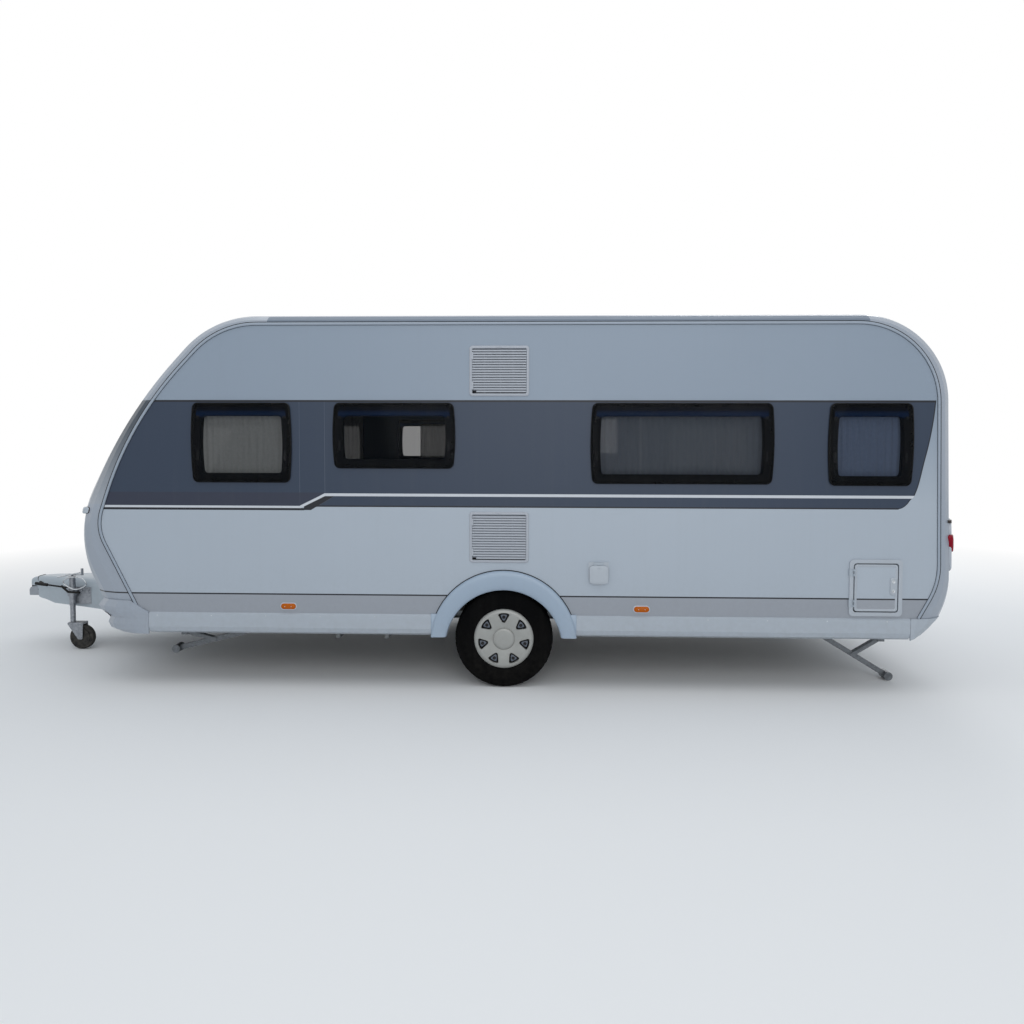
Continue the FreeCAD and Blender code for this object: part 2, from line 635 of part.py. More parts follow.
CROSS_MEMBER_SIZE = 60.0
cross_members = []
for x in (KNEE_X + 60, AXLE_X - 1050, AXLE_X + 900, RAIL_REAR_X - 80):
    half = RAIL_Y - RAIL_WALL
    bar = box(x, x + CROSS_MEMBER_SIZE, -half, half, RAIL_TOP_Z - CROSS_MEMBER_SIZE - 8, RAIL_TOP_Z - RAIL_WALL - 1)
    hollow = box(x + 4, x + CROSS_MEMBER_SIZE - 4, -half - 5, half + 5,
                 RAIL_TOP_Z - CROSS_MEMBER_SIZE - 4, RAIL_TOP_Z - RAIL_WALL - 5)
    cross_members.append(bar.cut(hollow))
save("chassis_frame", rails[0].fuse([rails[1]] + cross_members))

# ---------------------------------------------------------------- axle
ARM_LENGTH = 150.0
BEAM_X = AXLE_X - ARM_LENGTH
BEAM_Z = RAIL_FOOT_Z - AXLE_BEAM_SIZE / 2
ARM_Y = WHEEL_Y - TYRE_WIDTH / 2 - 25.0
STUB_RADIUS = 22.0
half_beam = AXLE_BEAM_SIZE / 2
beam = box(BEAM_X - half_beam, BEAM_X + half_beam, -ARM_Y + 30, ARM_Y - 30, BEAM_Z - half_beam, BEAM_Z + half_beam)
axle_pieces = [beam]
for name, side in SIDES:
    y0, y1 = side * (ARM_Y - 30), side * (ARM_Y + 10)
    arm = prism_y([(BEAM_X - 48, BEAM_Z - 48, 30), (BEAM_X + 48, BEAM_Z - 48, 30),
                   (AXLE_X + 40, AXLE_Z - 36, 25), (AXLE_X + 40, AXLE_Z + 36, 25),
                   (BEAM_X - 48, BEAM_Z + 47, 30)], y0, y1)
    plate = rod((AXLE_X, y1, AXLE_Z), (AXLE_X, y1 + side * 20, AXLE_Z), DRUM_RADIUS + 12)
    stub = rod((AXLE_X, y1, AXLE_Z), (AXLE_X, side * (WHEEL_Y + 30), AXLE_Z), STUB_RADIUS)
    axle_pieces += [arm, plate, stub]
axle = axle_pieces[0].fuse(axle_pieces[1:]).removeSplitter()
save("axle", axle)

# ---------------------------------------------------------------- wheels
HUBCAP_DEPTH = 16.0
# (x, z, radius) of one opening's corners from the middle of the wheel
HUBCAP_OPENING = ((-40.0, 176.0, 10.0), (-8.0, 112.0, 6.0), (8.0, 112.0, 6.0), (40.0, 176.0, 10.0))
HUBCAP_OUT_Y = RIM_WIDTH / 2 + 2 + SEAT_GAP + HUBCAP_DEPTH
DISC_OFFSET = 18.0


def spun(profile, y_sign):
    """Solid turned about the wheel axle line from (radius, offset along the axle) corners."""
    wire = rounded_wire(profile, lambda r, y: Vector(AXLE_X + r, y_sign * WHEEL_Y + y_sign * y, AXLE_Z))
    return Part.Face(wire).revolve(Vector(AXLE_X, 0, AXLE_Z), Vector(0, 1, 0), 360)


def tyre(side):
    outer, bead, half = TYRE_DIAMETER / 2, RIM_DIAMETER / 2, TYRE_WIDTH / 2
    inside = 12.0
    flange = RIM_WIDTH / 2 - 3
    lip = bead + RIM_FLANGE
    return spun([(bead + 1, -flange + 5.3, 0), (lip + 1, -flange + 0.6, 0), (lip + 4, -half + 10, 0),
                 (outer - 62, -half, 0),
                 (outer - 28, -half + 8, 0), (outer - 4, -half + 24, 0), (outer, 0, 0), (outer - 4, half - 24, 0),
                 (outer - 28, half - 8, 0), (outer - 62, half, 0), (lip + 4, half - 10, 0),
                 (lip + 1, flange - 0.6, 0), (bead + 1, flange - 5.3, 0), (bead + 1, half - 34, 0),
                 (outer - 40, half - inside - 22, 0),
                 (outer - inside, half - 46, 0), (outer - inside, -half + 46, 0),
                 (outer - 40, -half + inside + 22, 0), (bead + 1, -half + 34, 0)], side)


def rim(side):
    bead, half, wall = RIM_DIAMETER / 2, RIM_WIDTH / 2, RIM_WALL
    lip = bead + RIM_FLANGE
    barrel = spun([(bead, -half, 0), (lip, -half - 2, 0), (lip, -half + 3, 0), (bead - 0.5, -half + 8, 0),
                   (bead - 24, -half + 30, 0), (bead - 24, half - 40, 0), (bead - 0.5, half - 8, 0),
                   (lip, half - 3, 0), (lip, half + 2, 0), (bead - wall, half, 0),
                   (bead - wall - 4, half - 12, 0), (bead - 24 - wall, half - 44, 0),
                   (bead - 24 - wall, -half + 26, 0), (bead - wall - 4, -half + 4, 0)], side)
    disc = spun([(STUB_RADIUS + 0.5, DISC_OFFSET - 50, 0), (HUB_RADIUS, DISC_OFFSET - 50, 0),
                 (HUB_RADIUS + 10, DISC_OFFSET - 4, 0), (bead - 26, DISC_OFFSET - 4, 0),
                 (bead - 26, DISC_OFFSET + 4, 0), (HUB_RADIUS, DISC_OFFSET + 4, 0),
                 (STUB_RADIUS + 0.5, DISC_OFFSET + 4, 0)], side)
    return barrel.fuse(disc).removeSplitter()


def drum(side):
    back = ARM_Y + 38 - WHEEL_Y
    face = DISC_OFFSET - 4 - SEAT_GAP
    return spun([(HUB_RADIUS + 16, face, 0), (HUB_RADIUS + 16, back, 0), (DRUM_RADIUS, back, 0),
                 (DRUM_RADIUS, face, 0)], side)


def hubcap(side):
    """Domed cover with triangular openings between its spokes and a round middle cap."""
    rim_radius = HUBCAP_DIAMETER / 2
    face, thick = HUBCAP_OUT_Y, 5.0
    shell = spun([(0.01, face - 2, 0), (70, face - 2, 0), (76, face - 9, 0), (98, face - 7, 0),
                  (rim_radius - 26, face - 2, 0), (rim_radius - 6, face - 6, 0),
                  (rim_radius, face - HUBCAP_DEPTH + 2, 0), (rim_radius - thick, face - HUBCAP_DEPTH, 0),
                  (rim_radius - 26, face - 2 - thick, 0), (98, face - 7 - thick, 0),
                  (74, face - 10 - thick, 0), (68, face - 4 - thick, 0), (0.01, face - 4 - thick, 0)], side)
    middle = Vector(AXLE_X, 0, AXLE_Z)
    cuts = []
    for i in range(HUBCAP_OPENINGS):
        corners = [(AXLE_X + x, AXLE_Z + z, radius) for x, z, radius in HUBCAP_OPENING]
        hole = prism_y(corners, side * (WHEEL_Y + face - 60), side * (WHEEL_Y + face + 20))
        hole.rotate(middle, Vector(0, 1, 0), 360 / HUBCAP_OPENINGS * i)
        cuts.append(hole)
    return shell.cut(Part.makeCompound(cuts))


for name, side in SIDES:
    save("tyre_" + name, tyre(side))
    save("wheel_" + name, rim(side), drum(side))
    save("hubcap_" + name, hubcap(side))


# ---------------------------------------------------------------- hinges
BARREL_RADIUS = 7.0
HINGE_PIN_RADIUS = 3.0
HINGE_PIN_CLEARANCE = 0.3
LEAF_WIDTH = 34.0
LEAF_THICKNESS = 3.0
HINGE_AXIS_HEIGHT = BARREL_RADIUS + 1.0


def hinge(at, along, to_moving, outward, length):
    """Barrel hinge on a surface at the point below its axis: returns (fixed leaf, moving leaf)."""
    third = length / 3

    def leaf(direction, parts):
        free = BARREL_RADIUS + 2
        plate = box(direction * free, direction * LEAF_WIDTH, 0, LEAF_THICKNESS, -length / 2, length / 2)
        pieces = [plate]
        for z0, z1 in parts:
            barrel = rod((0, HINGE_AXIS_HEIGHT, z0), (0, HINGE_AXIS_HEIGHT, z1), BARREL_RADIUS)
            neck = box(0, direction * (free + 2), 0, HINGE_AXIS_HEIGHT, z0, z1)
            pieces += [barrel, neck]
        return pieces[0].fuse(pieces[1:])

    ends = [(-length / 2, -third / 2 - 1), (third / 2 + 1, length / 2)]
    pin_line = ((0, HINGE_AXIS_HEIGHT, -length / 2), (0, HINGE_AXIS_HEIGHT, length / 2))
    fixed = leaf(-1, ends).fuse(rod(*pin_line, HINGE_PIN_RADIUS))
    moving = leaf(1, [(-third / 2, third / 2)]).cut(rod(*pin_line, HINGE_PIN_RADIUS + HINGE_PIN_CLEARANCE))
    turn = FreeCAD.Rotation(Vector(*to_moving), Vector(*outward), Vector(*along), "ZXY")
    place = FreeCAD.Placement(Vector(*at), turn).toMatrix()
    return fixed.transformed(place), moving.transformed(place)


# ---------------------------------------------------------------- entrance door
DOOR_WINDOW_SIZE = (300.0, 470.0)
DOOR_WINDOW_Z = 1790.0
DOOR_HINGE_LENGTH = 90.0
DOOR_HINGE_X = DOOR_FRONT_X + MOVING_GAP / 2
DOOR_HINGE_DROP = 260.0

root_hinges = []
door_x = DOOR_MID[0]
slab = prism_y(rectangle(*DOOR_MID, DOOR_WIDTH - 2 * MOVING_GAP, DOOR_HEIGHT - 2 * MOVING_GAP,
                         DOOR_RADIUS - MOVING_GAP), INNER_Y, HALF_WIDTH)
width, height = DOOR_WINDOW_SIZE
slab = slab.cut(prism_y(rectangle(door_x, DOOR_WINDOW_Z, width - 44, height - 44, 50), 0, 2 * BODY_WIDTH))
ring = prism_y(rectangle(door_x, DOOR_WINDOW_Z, width, height, 64), HALF_WIDTH, HALF_WIDTH + WINDOW_FRAME_DEPTH)
clear = (width - 2 * WINDOW_REBATE, height - 2 * WINDOW_REBATE)
door_frame = ring.cut(prism_y(rectangle(door_x, DOOR_WINDOW_Z, *clear, 42), 0, 2 * BODY_WIDTH))
pane_size = [size - 2 * SEAT_GAP for size in clear]
door_pane = prism_y(rectangle(door_x, DOOR_WINDOW_Z, *pane_size, 42), HALF_WIDTH + 4,
                    HALF_WIDTH + 4 + PANE_THICKNESS)
handle_x = DOOR_FRONT_X + DOOR_WIDTH - 62
handle_plate = prism_y(rectangle(handle_x, 1420, 62, 170, 14), HALF_WIDTH, HALF_WIDTH + 10)
handle_plate = handle_plate.cut(prism_y(rectangle(handle_x, 1440, 40, 84, 8), HALF_WIDTH + 4, HALF_WIDTH + 20))
grip = box(handle_x - 9, handle_x + 9, HALF_WIDTH + 7, HALF_WIDTH + 13, 1380, 1500)
door_fittings = [handle_plate.fuse(grip)]
for z in (DOOR_Z[0] + DOOR_HINGE_DROP, DOOR_Z[1] - DOOR_HINGE_DROP):
    fixed, moving = hinge((DOOR_HINGE_X, HALF_WIDTH, z), (0, 0, 1), (1, 0, 0), (0, 1, 0), DOOR_HINGE_LENGTH)
    root_hinges.append(fixed)
    door_fittings.append(moving)
save("entrance_door", slab)
save("door_window", door_pane)
save("door_fittings", door_frame, *door_fittings)

# ---------------------------------------------------------------- gas locker and its lid
LOCKER_BULKHEAD_X = NOSE_X + 640.0
LOCKER_TOP_Z = 1245.0
BOARD = 12.0
LID_HINGE_Y = 200.0
LID_HINGE_LENGTH = 110.0
LID_LATCH_Y = LOCKER_LID_HALF_WIDTH - 240.0
LID_LATCH_RISE = 70.0
LID_LATCH_RADIUS = 24.0
LID_HINGE_Z = LOCKER_LID_Z[1] + MOVING_GAP / 2


def surface_x(solid, y, z):
    """Foremost x of a solid on a line along X."""
    line = Part.makeLine(Vector(-OVERALL_LENGTH, y, z), Vector(0, y, z))
    return line.common(solid).BoundBox.XMin


lid_axis_x = surface_x(outer_body, 0, LID_HINGE_Z) - HINGE_AXIS_HEIGHT
lid_fittings = []
for side in (LEFT, RIGHT):
    at = (lid_axis_x + HINGE_AXIS_HEIGHT, side * LID_HINGE_Y, LID_HINGE_Z)
    fixed, moving = hinge(at, (0, 1, 0), (0, 0, -1), (-1, 0, 0), LID_HINGE_LENGTH)
    half = LID_HINGE_LENGTH / 2
    for direction, leaf, home in ((1, fixed, root_hinges), (-1, moving, lid_fittings)):
        pad = box(at[0] - 1, at[0] + LEAF_WIDTH, at[1] - half, at[1] + half,
                  at[2] + direction * (BARREL_RADIUS + 2), at[2] + direction * LEAF_WIDTH)
        home.append(leaf.fuse(pad).cut(outer_body))
for side in (LEFT, RIGHT):
    y, z = side * LID_LATCH_Y, LOCKER_LID_Z[0] + LID_LATCH_RISE
    x = surface_x(outer_body, y, z)
    lid_fittings.append(rod((x - 14, y, z), (x + 40, y, z), LID_LATCH_RADIUS).cut(outer_body))
save("locker_lid", lid_blank.fuse(lid_fittings))

bulkhead = box(LOCKER_BULKHEAD_X, LOCKER_BULKHEAD_X + BOARD, -INNER_Y, INNER_Y, FLOOR_TOP_Z, LOCKER_TOP_Z)
shelf = box(NOSE_X - 200, LOCKER_BULKHEAD_X, -INNER_Y, INNER_Y, LOCKER_TOP_Z - BOARD, LOCKER_TOP_Z)
locker_boards = room.common(bulkhead.fuse(shelf))

# ---------------------------------------------------------------- service hatch (left, rear)
width, height = HATCH_SIZE
hatch_x, hatch_z = HATCH_CENTRE
inner = (width - 2 * HATCH_FRAME, height - 2 * HATCH_FRAME)
ring = prism_y(rectangle(hatch_x, hatch_z, width, height, 26), HALF_WIDTH, HALF_WIDTH + 9)
ring = ring.cut(prism_y(rectangle(hatch_x, hatch_z, *inner, 20), 0, 2 * BODY_WIDTH))
leaf_size = [size - 2 * MOVING_GAP for size in inner]
hatch_leaf = prism_y(rectangle(hatch_x, hatch_z, *leaf_size, 14), INNER_Y + 4, HALF_WIDTH + 9)
hatch_hinge_x = hatch_x - inner[0] / 2 + MOVING_GAP / 2
hatch_fittings = []
for z in (hatch_z - 105, hatch_z + 105):
    fixed, moving = hinge((hatch_hinge_x, HALF_WIDTH + 9, z), (0, 0, 1), (1, 0, 0), (0, 1, 0), 48.0)
    root_hinges.append(mirrored(fixed))
    hatch_fittings.append(mirrored(moving))
lock_x = hatch_x + leaf_size[0] / 2 - 34
lock = prism_y(rectangle(lock_x, hatch_z, 40, 120, 18), HALF_WIDTH + 9, HALF_WIDTH + 19)
hatch_fittings.append(mirrored(lock))
BAY_DEPTH = 520.0
bay = box(hatch_x - 200, hatch_x + 200, INNER_Y - BAY_DEPTH, INNER_Y, FLOOR_TOP_Z, hatch_z + 215)
bay = bay.cut(box(hatch_x - 190, hatch_x + 190, INNER_Y - BAY_DEPTH + 10, INNER_Y + 1, FLOOR_TOP_Z + 10, hatch_z + 205))
service_frame = mirrored(ring)
save("service_hatch", mirrored(hatch_leaf).fuse(hatch_fittings))
save("locker_boards", locker_boards, mirrored(bay))

# ---------------------------------------------------------------- power inlet and its flap (left)
width, height = INLET_SIZE
inlet_x, inlet_z = INLET_CENTRE
outer = [(inlet_x - width / 2, inlet_z - height / 2, 60), (inlet_x + width / 2, inlet_z - height / 2, 60),
         (inlet_x + width / 2, inlet_z + height / 2, 10), (inlet_x - width / 2, inlet_z + height / 2, 10)]
plate = prism_y(outer, HALF_WIDTH, HALF_WIDTH + 8)
plate = plate.cut(prism_y(rectangle(inlet_x, inlet_z, *INLET_POCKET, 18), 0, 2 * BODY_WIDTH))
socket = tube((inlet_x, HALF_WIDTH - INLET_POCKET_DEPTH, inlet_z), (inlet_x, HALF_WIDTH + 4, inlet_z), 30, 25)
base = rod((inlet_x, HALF_WIDTH - INLET_POCKET_DEPTH, inlet_z), (inlet_x, HALF_WIDTH - 16, inlet_z), 26)
PLATE_Y = HALF_WIDTH + 8
FLAP_THICKNESS = 5.0
FLAP_FACE_Y = PLATE_Y + SEAT_GAP + FLAP_THICKNESS
flap_top_z = inlet_z + 46
flap = prism_y([(inlet_x - 58, inlet_z - 66, 50), (inlet_x + 58, inlet_z - 66, 50), (inlet_x + 58, flap_top_z, 6),
                (inlet_x - 58, flap_top_z, 6)], PLATE_Y + SEAT_GAP, FLAP_FACE_Y)
flap_axis_z = flap_top_z + MOVING_GAP / 2
fixed, moving = hinge((inlet_x, FLAP_FACE_Y, flap_axis_z), (1, 0, 0), (0, 0, -1), (0, 1, 0), 66.0)
pad = box(inlet_x - 33, inlet_x + 33, PLATE_Y, FLAP_FACE_Y, flap_axis_z + BARREL_RADIUS + 2, inlet_z + height / 2 - 1)
fixed = fixed.common(box(inlet_x - 40, inlet_x + 40, HALF_WIDTH, HALF_WIDTH + 60, 0, inlet_z + height / 2 - 1))
root_hinges.append(mirrored(fixed.fuse(pad)))
latch = box(inlet_x - 12, inlet_x + 12, FLAP_FACE_Y, FLAP_FACE_Y + 6, inlet_z - 58, inlet_z - 44)
inlet_frame = mirrored(plate.fuse([socket, base]))
save("inlet_flap", mirrored(flap.fuse([moving, latch])))

# ---------------------------------------------------------------- fridge vents (left)
VENT_SLATS = 17
VENT_DEPTH = 8.0
vents = []
for z, height in VENTS:
    grille = prism_y(rectangle(VENT_X, z, VENT_WIDTH, height, 12), HALF_WIDTH, HALF_WIDTH + VENT_DEPTH)
    field = height - 2 * VENT_BORDER - 20
    pitch = field / VENT_SLATS
    slots = []
    for i in range(VENT_SLATS):
        slot_z = z - field / 2 + pitch * (i + 0.5)
        half = VENT_WIDTH / 2 - VENT_BORDER - 8
        slots.append(box(VENT_X - half, VENT_X + half, 0, 2 * BODY_WIDTH, slot_z - pitch * 0.28, slot_z + pitch * 0.28))
    vents.append(mirrored(grille.cut(Part.makeCompound(slots))))
save("fridge_vents", *vents)

# ---------------------------------------------------------------- roof hatches
HATCH_CURB = 36.0
HATCH_CURB_WALL = 26.0
ROOF_HINGE_LENGTH = 90.0
roof_crown_z = ROOF_EDGE_Z + ROOF_WRAP + ROOF_CAMBER
curb_top_z = roof_crown_z + HATCH_CURB
curbs, hatch_axes = [], []
for number, (x, y, length, width) in enumerate(ROOF_HATCHES, 1):
    outer = prism_z(rectangle(x, y, length + 2 * HATCH_CURB_WALL, width + 2 * HATCH_CURB_WALL, 50),
                    roof_crown_z - 30, curb_top_z)
    curb = outer.cut(prism_z(rectangle(x, y, length, width, 30), 0, 3000)).cut(outer_body)
    rear = x + length / 2 + HATCH_CURB_WALL
    lid_length, lid_width = length + 2 * HATCH_CURB_WALL - 8, width + 2 * HATCH_CURB_WALL - 8
    lid = prism_z(rectangle(x, y, lid_length, lid_width, 46), curb_top_z + 1, curb_top_z + 30)
    lid = lid.cut(prism_z(rectangle(x, y, lid_length - 16, lid_width - 16, 40), 0, curb_top_z + 22))
    lid = lid.fuse(prism_z(rectangle(x, y, lid_length - 90, lid_width - 90, 30), curb_top_z + 30, curb_top_z + 38))
    axis_z = curb_top_z + 30 - HINGE_AXIS_HEIGHT
    axis_x = rear + 12
    fixed_block = box(rear - 3, axis_x + 6, y - ROOF_HINGE_LENGTH / 2, y + ROOF_HINGE_LENGTH / 2,
                      curb_top_z - 26, curb_top_z - 12)
    arm = [rod((axis_x, y - 18, axis_z), (axis_x, y + 18, axis_z), BARREL_RADIUS),
           box(rear - 10, axis_x, y - 18, y + 18, axis_z, axis_z + BARREL_RADIUS)]
    lid = lid.fuse(arm).cut(rod((axis_x, y - 60, axis_z), (axis_x, y + 60, axis_z), HINGE_PIN_RADIUS + 0.3))
    pin = rod((axis_x, y - 45, axis_z), (axis_x, y + 45, axis_z), HINGE_PIN_RADIUS)
    ears = []
    for side in (LEFT, RIGHT):
        y0, y1 = y + side * 22, y + side * 45
        ears.append(rod((axis_x, y0, axis_z), (axis_x, y1, axis_z), BARREL_RADIUS))
        ears.append(box(axis_x - 6, axis_x + 6, y0, y1, curb_top_z - 20, axis_z))
    curbs.append(curb.fuse([fixed_block, pin] + ears))
    hatch_axes.append((axis_x, y, axis_z))
    save("roof_hatch_%d" % number, lid)
save("hatch_frames", service_frame, inlet_frame, *curbs)

# ---------------------------------------------------------------- lamps and plates
LAMP_Y = SHOULDER_Y - 5.0
LAMP_HOUSING_WIDTH = 130.0
LAMP_HOUSING_STANDOUT = 16.0
LAMP_HOUSING_Z = (824.0, 1195.0)
LAMP_LENS_RADIUS = 50.0
LAMP_LENS_Z = (890.0, 1010.0, 1130.0)
MARKER_SIZE = (112.0, 48.0)
MARKER_Z = 568.0
MARKERS_X = (NOSE_X + 1531.0, WAIST_X - 2109.0)
BRAKE_LAMP_HALF_WIDTH = 140.0
BRAKE_LAMP_Z = (2215.0, 2240.0)
BRAKE_LAMP_SETBACK = 45.0
FRONT_LAMP_Z = (1192.0, 1254.0)
FRONT_LAMP_DEPTH = 14.0

housing_face = WAIST_X + LAMP_HOUSING_STANDOUT
housings, red_lenses, other_lenses, markers, front_lamps = [], [], [], [], []
block_x = WAIST_X - 90
for name, side in SIDES:
    block = prism_x(rectangle(side * LAMP_Y, sum(LAMP_HOUSING_Z) / 2, LAMP_HOUSING_WIDTH,
                              LAMP_HOUSING_Z[1] - LAMP_HOUSING_Z[0], 40), block_x, housing_face)
    housings.append(block.cut(outer_body))
    for number, z in enumerate(LAMP_LENS_Z):
        lens = rod((housing_face, side * LAMP_Y, z), (OVERALL_LENGTH / 2, side * LAMP_Y, z), LAMP_LENS_RADIUS)
        (red_lenses if number == 1 else other_lenses).append(lens)
    for x in MARKERS_X:
        marker = prism_y(rectangle(x, MARKER_Z, *MARKER_SIZE, 22), HALF_WIDTH, HALF_WIDTH + 16)
        markers.append(on_side(marker, side))
brake_lamp = box(block_x, WAIST_X - BRAKE_LAMP_SETBACK, -BRAKE_LAMP_HALF_WIDTH, BRAKE_LAMP_HALF_WIDTH,
                 *BRAKE_LAMP_Z).cut(outer_body)
red_lenses.append(brake_lamp)
for side in (LEFT, RIGHT):
    y_range = sorted((side * (SHOULDER_Y + 50), side * (SHOULDER_Y + 130)))
    front_lamps.append(skin(0.0, FRONT_LAMP_DEPTH, y_range, FRONT_LAMP_Z))
save("tail_lamp_housings", *housings)
save("tail_lamp_red", *red_lenses)
save("amber_lamps", *other_lenses, *markers)
save("front_lamps", *front_lamps)

# ---------------------------------------------------------------- coupling and drawbar
BALL_RADIUS = 25.3
BALL_X = NOSE_TIP_X + 62.0
BALL_Z = 425.0
COUPLING_HALF_WIDTH = 44.0
SHAFT_RADIUS = 25.0
SHAFT_Z = 440.0

head = prism_y([(NOSE_TIP_X, BALL_Z - 22, 6), (NOSE_TIP_X + 150, BALL_Z - 22, 6), (NOSE_TIP_X + 190, SHAFT_Z - 30, 0),
                (NOSE_TIP_X + 190, SHAFT_Z + 34, 0), (NOSE_TIP_X + 110, SHAFT_Z + 44, 12),
                (NOSE_TIP_X, SHAFT_Z + 34, 30)], -COUPLING_HALF_WIDTH, COUPLING_HALF_WIDTH)
socket = Part.makeSphere(BALL_RADIUS, Vector(BALL_X, 0, BALL_Z))
socket = socket.fuse(rod((BALL_X, 0, BALL_Z - 60), (BALL_X, 0, BALL_Z), BALL_RADIUS))
shaft = rod((NOSE_TIP_X + 150, 0, SHAFT_Z), (NOSE_TIP_X + 700, 0, SHAFT_Z), SHAFT_RADIUS)
save("coupling_head", head.cut(socket).fuse(shaft))
lever_foot_z = SHAFT_Z + 30
lever = prism_y([(NOSE_TIP_X + 12, lever_foot_z, 0), (NOSE_TIP_X + 66, lever_foot_z, 0), (NOSE_TIP_X + 66, 541, 22),
                 (NOSE_TIP_X + 12, 530, 22)], -30, 30)
lever = lever.cut(prism_y([(NOSE_TIP_X + 26, SHAFT_Z + 58, 6), (NOSE_TIP_X + 54, SHAFT_Z + 58, 6),
                           (NOSE_TIP_X + 54, 528, 10), (NOSE_TIP_X + 26, 518, 10)], -40, 40))
coupling_lever = lever.cut(head)
DRAWBAR_SLOPE = (RAIL_Y - DRAWBAR_TIP_Y) / (KNEE_X - DRAWBAR_TIP_X)


def rail_y(x):
    """Plan distance of the drawbar rail's web from the middle."""
    return DRAWBAR_TIP_Y + DRAWBAR_SLOPE * (x - DRAWBAR_TIP_X)


COVER_WALL = 5.0
COVER_MARGIN = 12.0
COVER_STATIONS = (
    # x, half width (0: from the rails), foot z, top z, corner radius
    (NOSE_TIP_X + 78.0, 62.0, 395.0, 522.0, 16.0),
    (NOSE_TIP_X + 175.0, 92.0, 380.0, 546.0, 30.0),
    (NOSE_TIP_X + 262.0, 0.0, 352.0, 550.0, 34.0),
    (NOSE_X + 105.0, 0.0, 308.0, 562.0, 40.0),
)


def cover_underside(x):
    """Height of the inside of the cover's top, above the rails."""
    (start, _, _, low, _), (end, _, _, high, _) = COVER_STATIONS[-2:]
    return low + (high - low) * (x - start) / (end - start) - COVER_WALL


mounts = []
for x in (DRAWBAR_TIP_X + 20, DRAWBAR_TIP_X + 300):
    half = rail_y(x) - RAIL_WALL / 2
    block = box(x, x + 70, -half, half, SHAFT_Z - 40, SHAFT_Z + 38)
    block = block.cut(rod((x - 10, 0, SHAFT_Z), (x + 80, 0, SHAFT_Z), SHAFT_RADIUS + SEAT_GAP))
    stand = box(x + 20, x + 50, -20, 20, SHAFT_Z + 37, cover_underside(x + 20) - SEAT_GAP)
    mounts.append(block.fuse(stand))
save("drawbar_frame", drawbar_rail(LEFT).fuse([drawbar_rail(RIGHT)] + mounts))


def cover_block(wall):
    wires = []
    for i, (x, half, foot, top, radius) in enumerate(COVER_STATIONS):
        half = (half or rail_y(x) + RAIL_FLANGE + COVER_MARGIN) - wall
        low = foot - (60 if wall else 0)
        if i == 0:
            x -= wall
        if i == len(COVER_STATIONS) - 1:
            x += wall
        corners = [(-half, low, 0), (half, low, 0), (half - 6, top - wall, radius), (6 - half, top - wall, radius)]
        wires.append(rounded_wire(corners, lambda y, z, x=x: Vector(x, y, z)))
    return Part.makeLoft(wires, True, True)


JOCKEY_X = NOSE_TIP_X + 494.0
JOCKEY_Y = -232.0
cover = cover_block(0.0).cut(cover_block(COVER_WALL))
side_slot = box(JOCKEY_X - 95, JOCKEY_X + 150, JOCKEY_Y - 40, JOCKEY_Y + 150, 300, 512)
save("drawbar_cover", cover.cut(side_slot))

# ---------------------------------------------------------------- jockey wheel
JOCKEY_TRAVEL = 115.0
JOCKEY_WHEEL_RADIUS = 100.0
JOCKEY_TRAIL = 80.0
JOCKEY_TUBE_RADIUS = 24.0
JOCKEY_BORE = 20.5
JOCKEY_FOOT_Z = 360.0
JOCKEY_TOP_Z = 590.0
FORK_TOP_Z = 222.0
FORK_PIN_RADIUS = 10.0

sleeve = tube((JOCKEY_X, JOCKEY_Y, JOCKEY_FOOT_Z), (JOCKEY_X, JOCKEY_Y, JOCKEY_TOP_Z), JOCKEY_TUBE_RADIUS, JOCKEY_BORE)
cap = rod((JOCKEY_X, JOCKEY_Y, JOCKEY_TOP_Z), (JOCKEY_X, JOCKEY_Y, JOCKEY_TOP_Z + 12), JOCKEY_TUBE_RADIUS + 3)
crank = rod((JOCKEY_X, JOCKEY_Y, JOCKEY_TOP_Z + 12), (JOCKEY_X, JOCKEY_Y, JOCKEY_TOP_Z + 26), 8)
crank_arm = box(JOCKEY_X - 9, JOCKEY_X + 92, JOCKEY_Y - 9, JOCKEY_Y + 9, JOCKEY_TOP_Z + 20, JOCKEY_TOP_Z + 26)
knob = rod((JOCKEY_X + 84, JOCKEY_Y, JOCKEY_TOP_Z + 26), (JOCKEY_X + 84, JOCKEY_Y, JOCKEY_TOP_Z + 76), 10)
sleeve = sleeve.fuse([cap, crank, crank_arm, knob])
clamp_ring = tube((JOCKEY_X, JOCKEY_Y, 440), (JOCKEY_X, JOCKEY_Y, 502), JOCKEY_TUBE_RADIUS + 12, JOCKEY_TUBE_RADIUS)
web = box(JOCKEY_X - 20, JOCKEY_X + 130, JOCKEY_Y + 26, -60, RAIL_FOOT_Z + 12, RAIL_TOP_Z - 12)
plate = box(JOCKEY_X - 30, JOCKEY_X + 140, JOCKEY_Y + 26, JOCKEY_Y + 36, RAIL_FOOT_Z + 12, 505)
lug = box(JOCKEY_X - 12, JOCKEY_X + 12, JOCKEY_Y + 24, JOCKEY_Y + 30, 440, 502)
seat = SEAT_GAP * math.hypot(1.0, DRAWBAR_SLOPE)
inside = prism_z(square((DRAWBAR_TIP_X, -DRAWBAR_TIP_Y - seat), (KNEE_X, -RAIL_Y - seat), (KNEE_X, 0),
                        (DRAWBAR_TIP_X, 0)), 0, 900)
clamp = plate.fuse([web.cut(inside), lug, clamp_ring])
clamp = clamp.cut(rod((JOCKEY_X, JOCKEY_Y, 300), (JOCKEY_X, JOCKEY_Y, 700), JOCKEY_TUBE_RADIUS))
bolts = []
for dx, z in ((60, 480), (112, 480)):
    x = JOCKEY_X + dx
    bolts.append(rod((x, JOCKEY_Y + 16, z), (x, JOCKEY_Y + 26, z), 12))
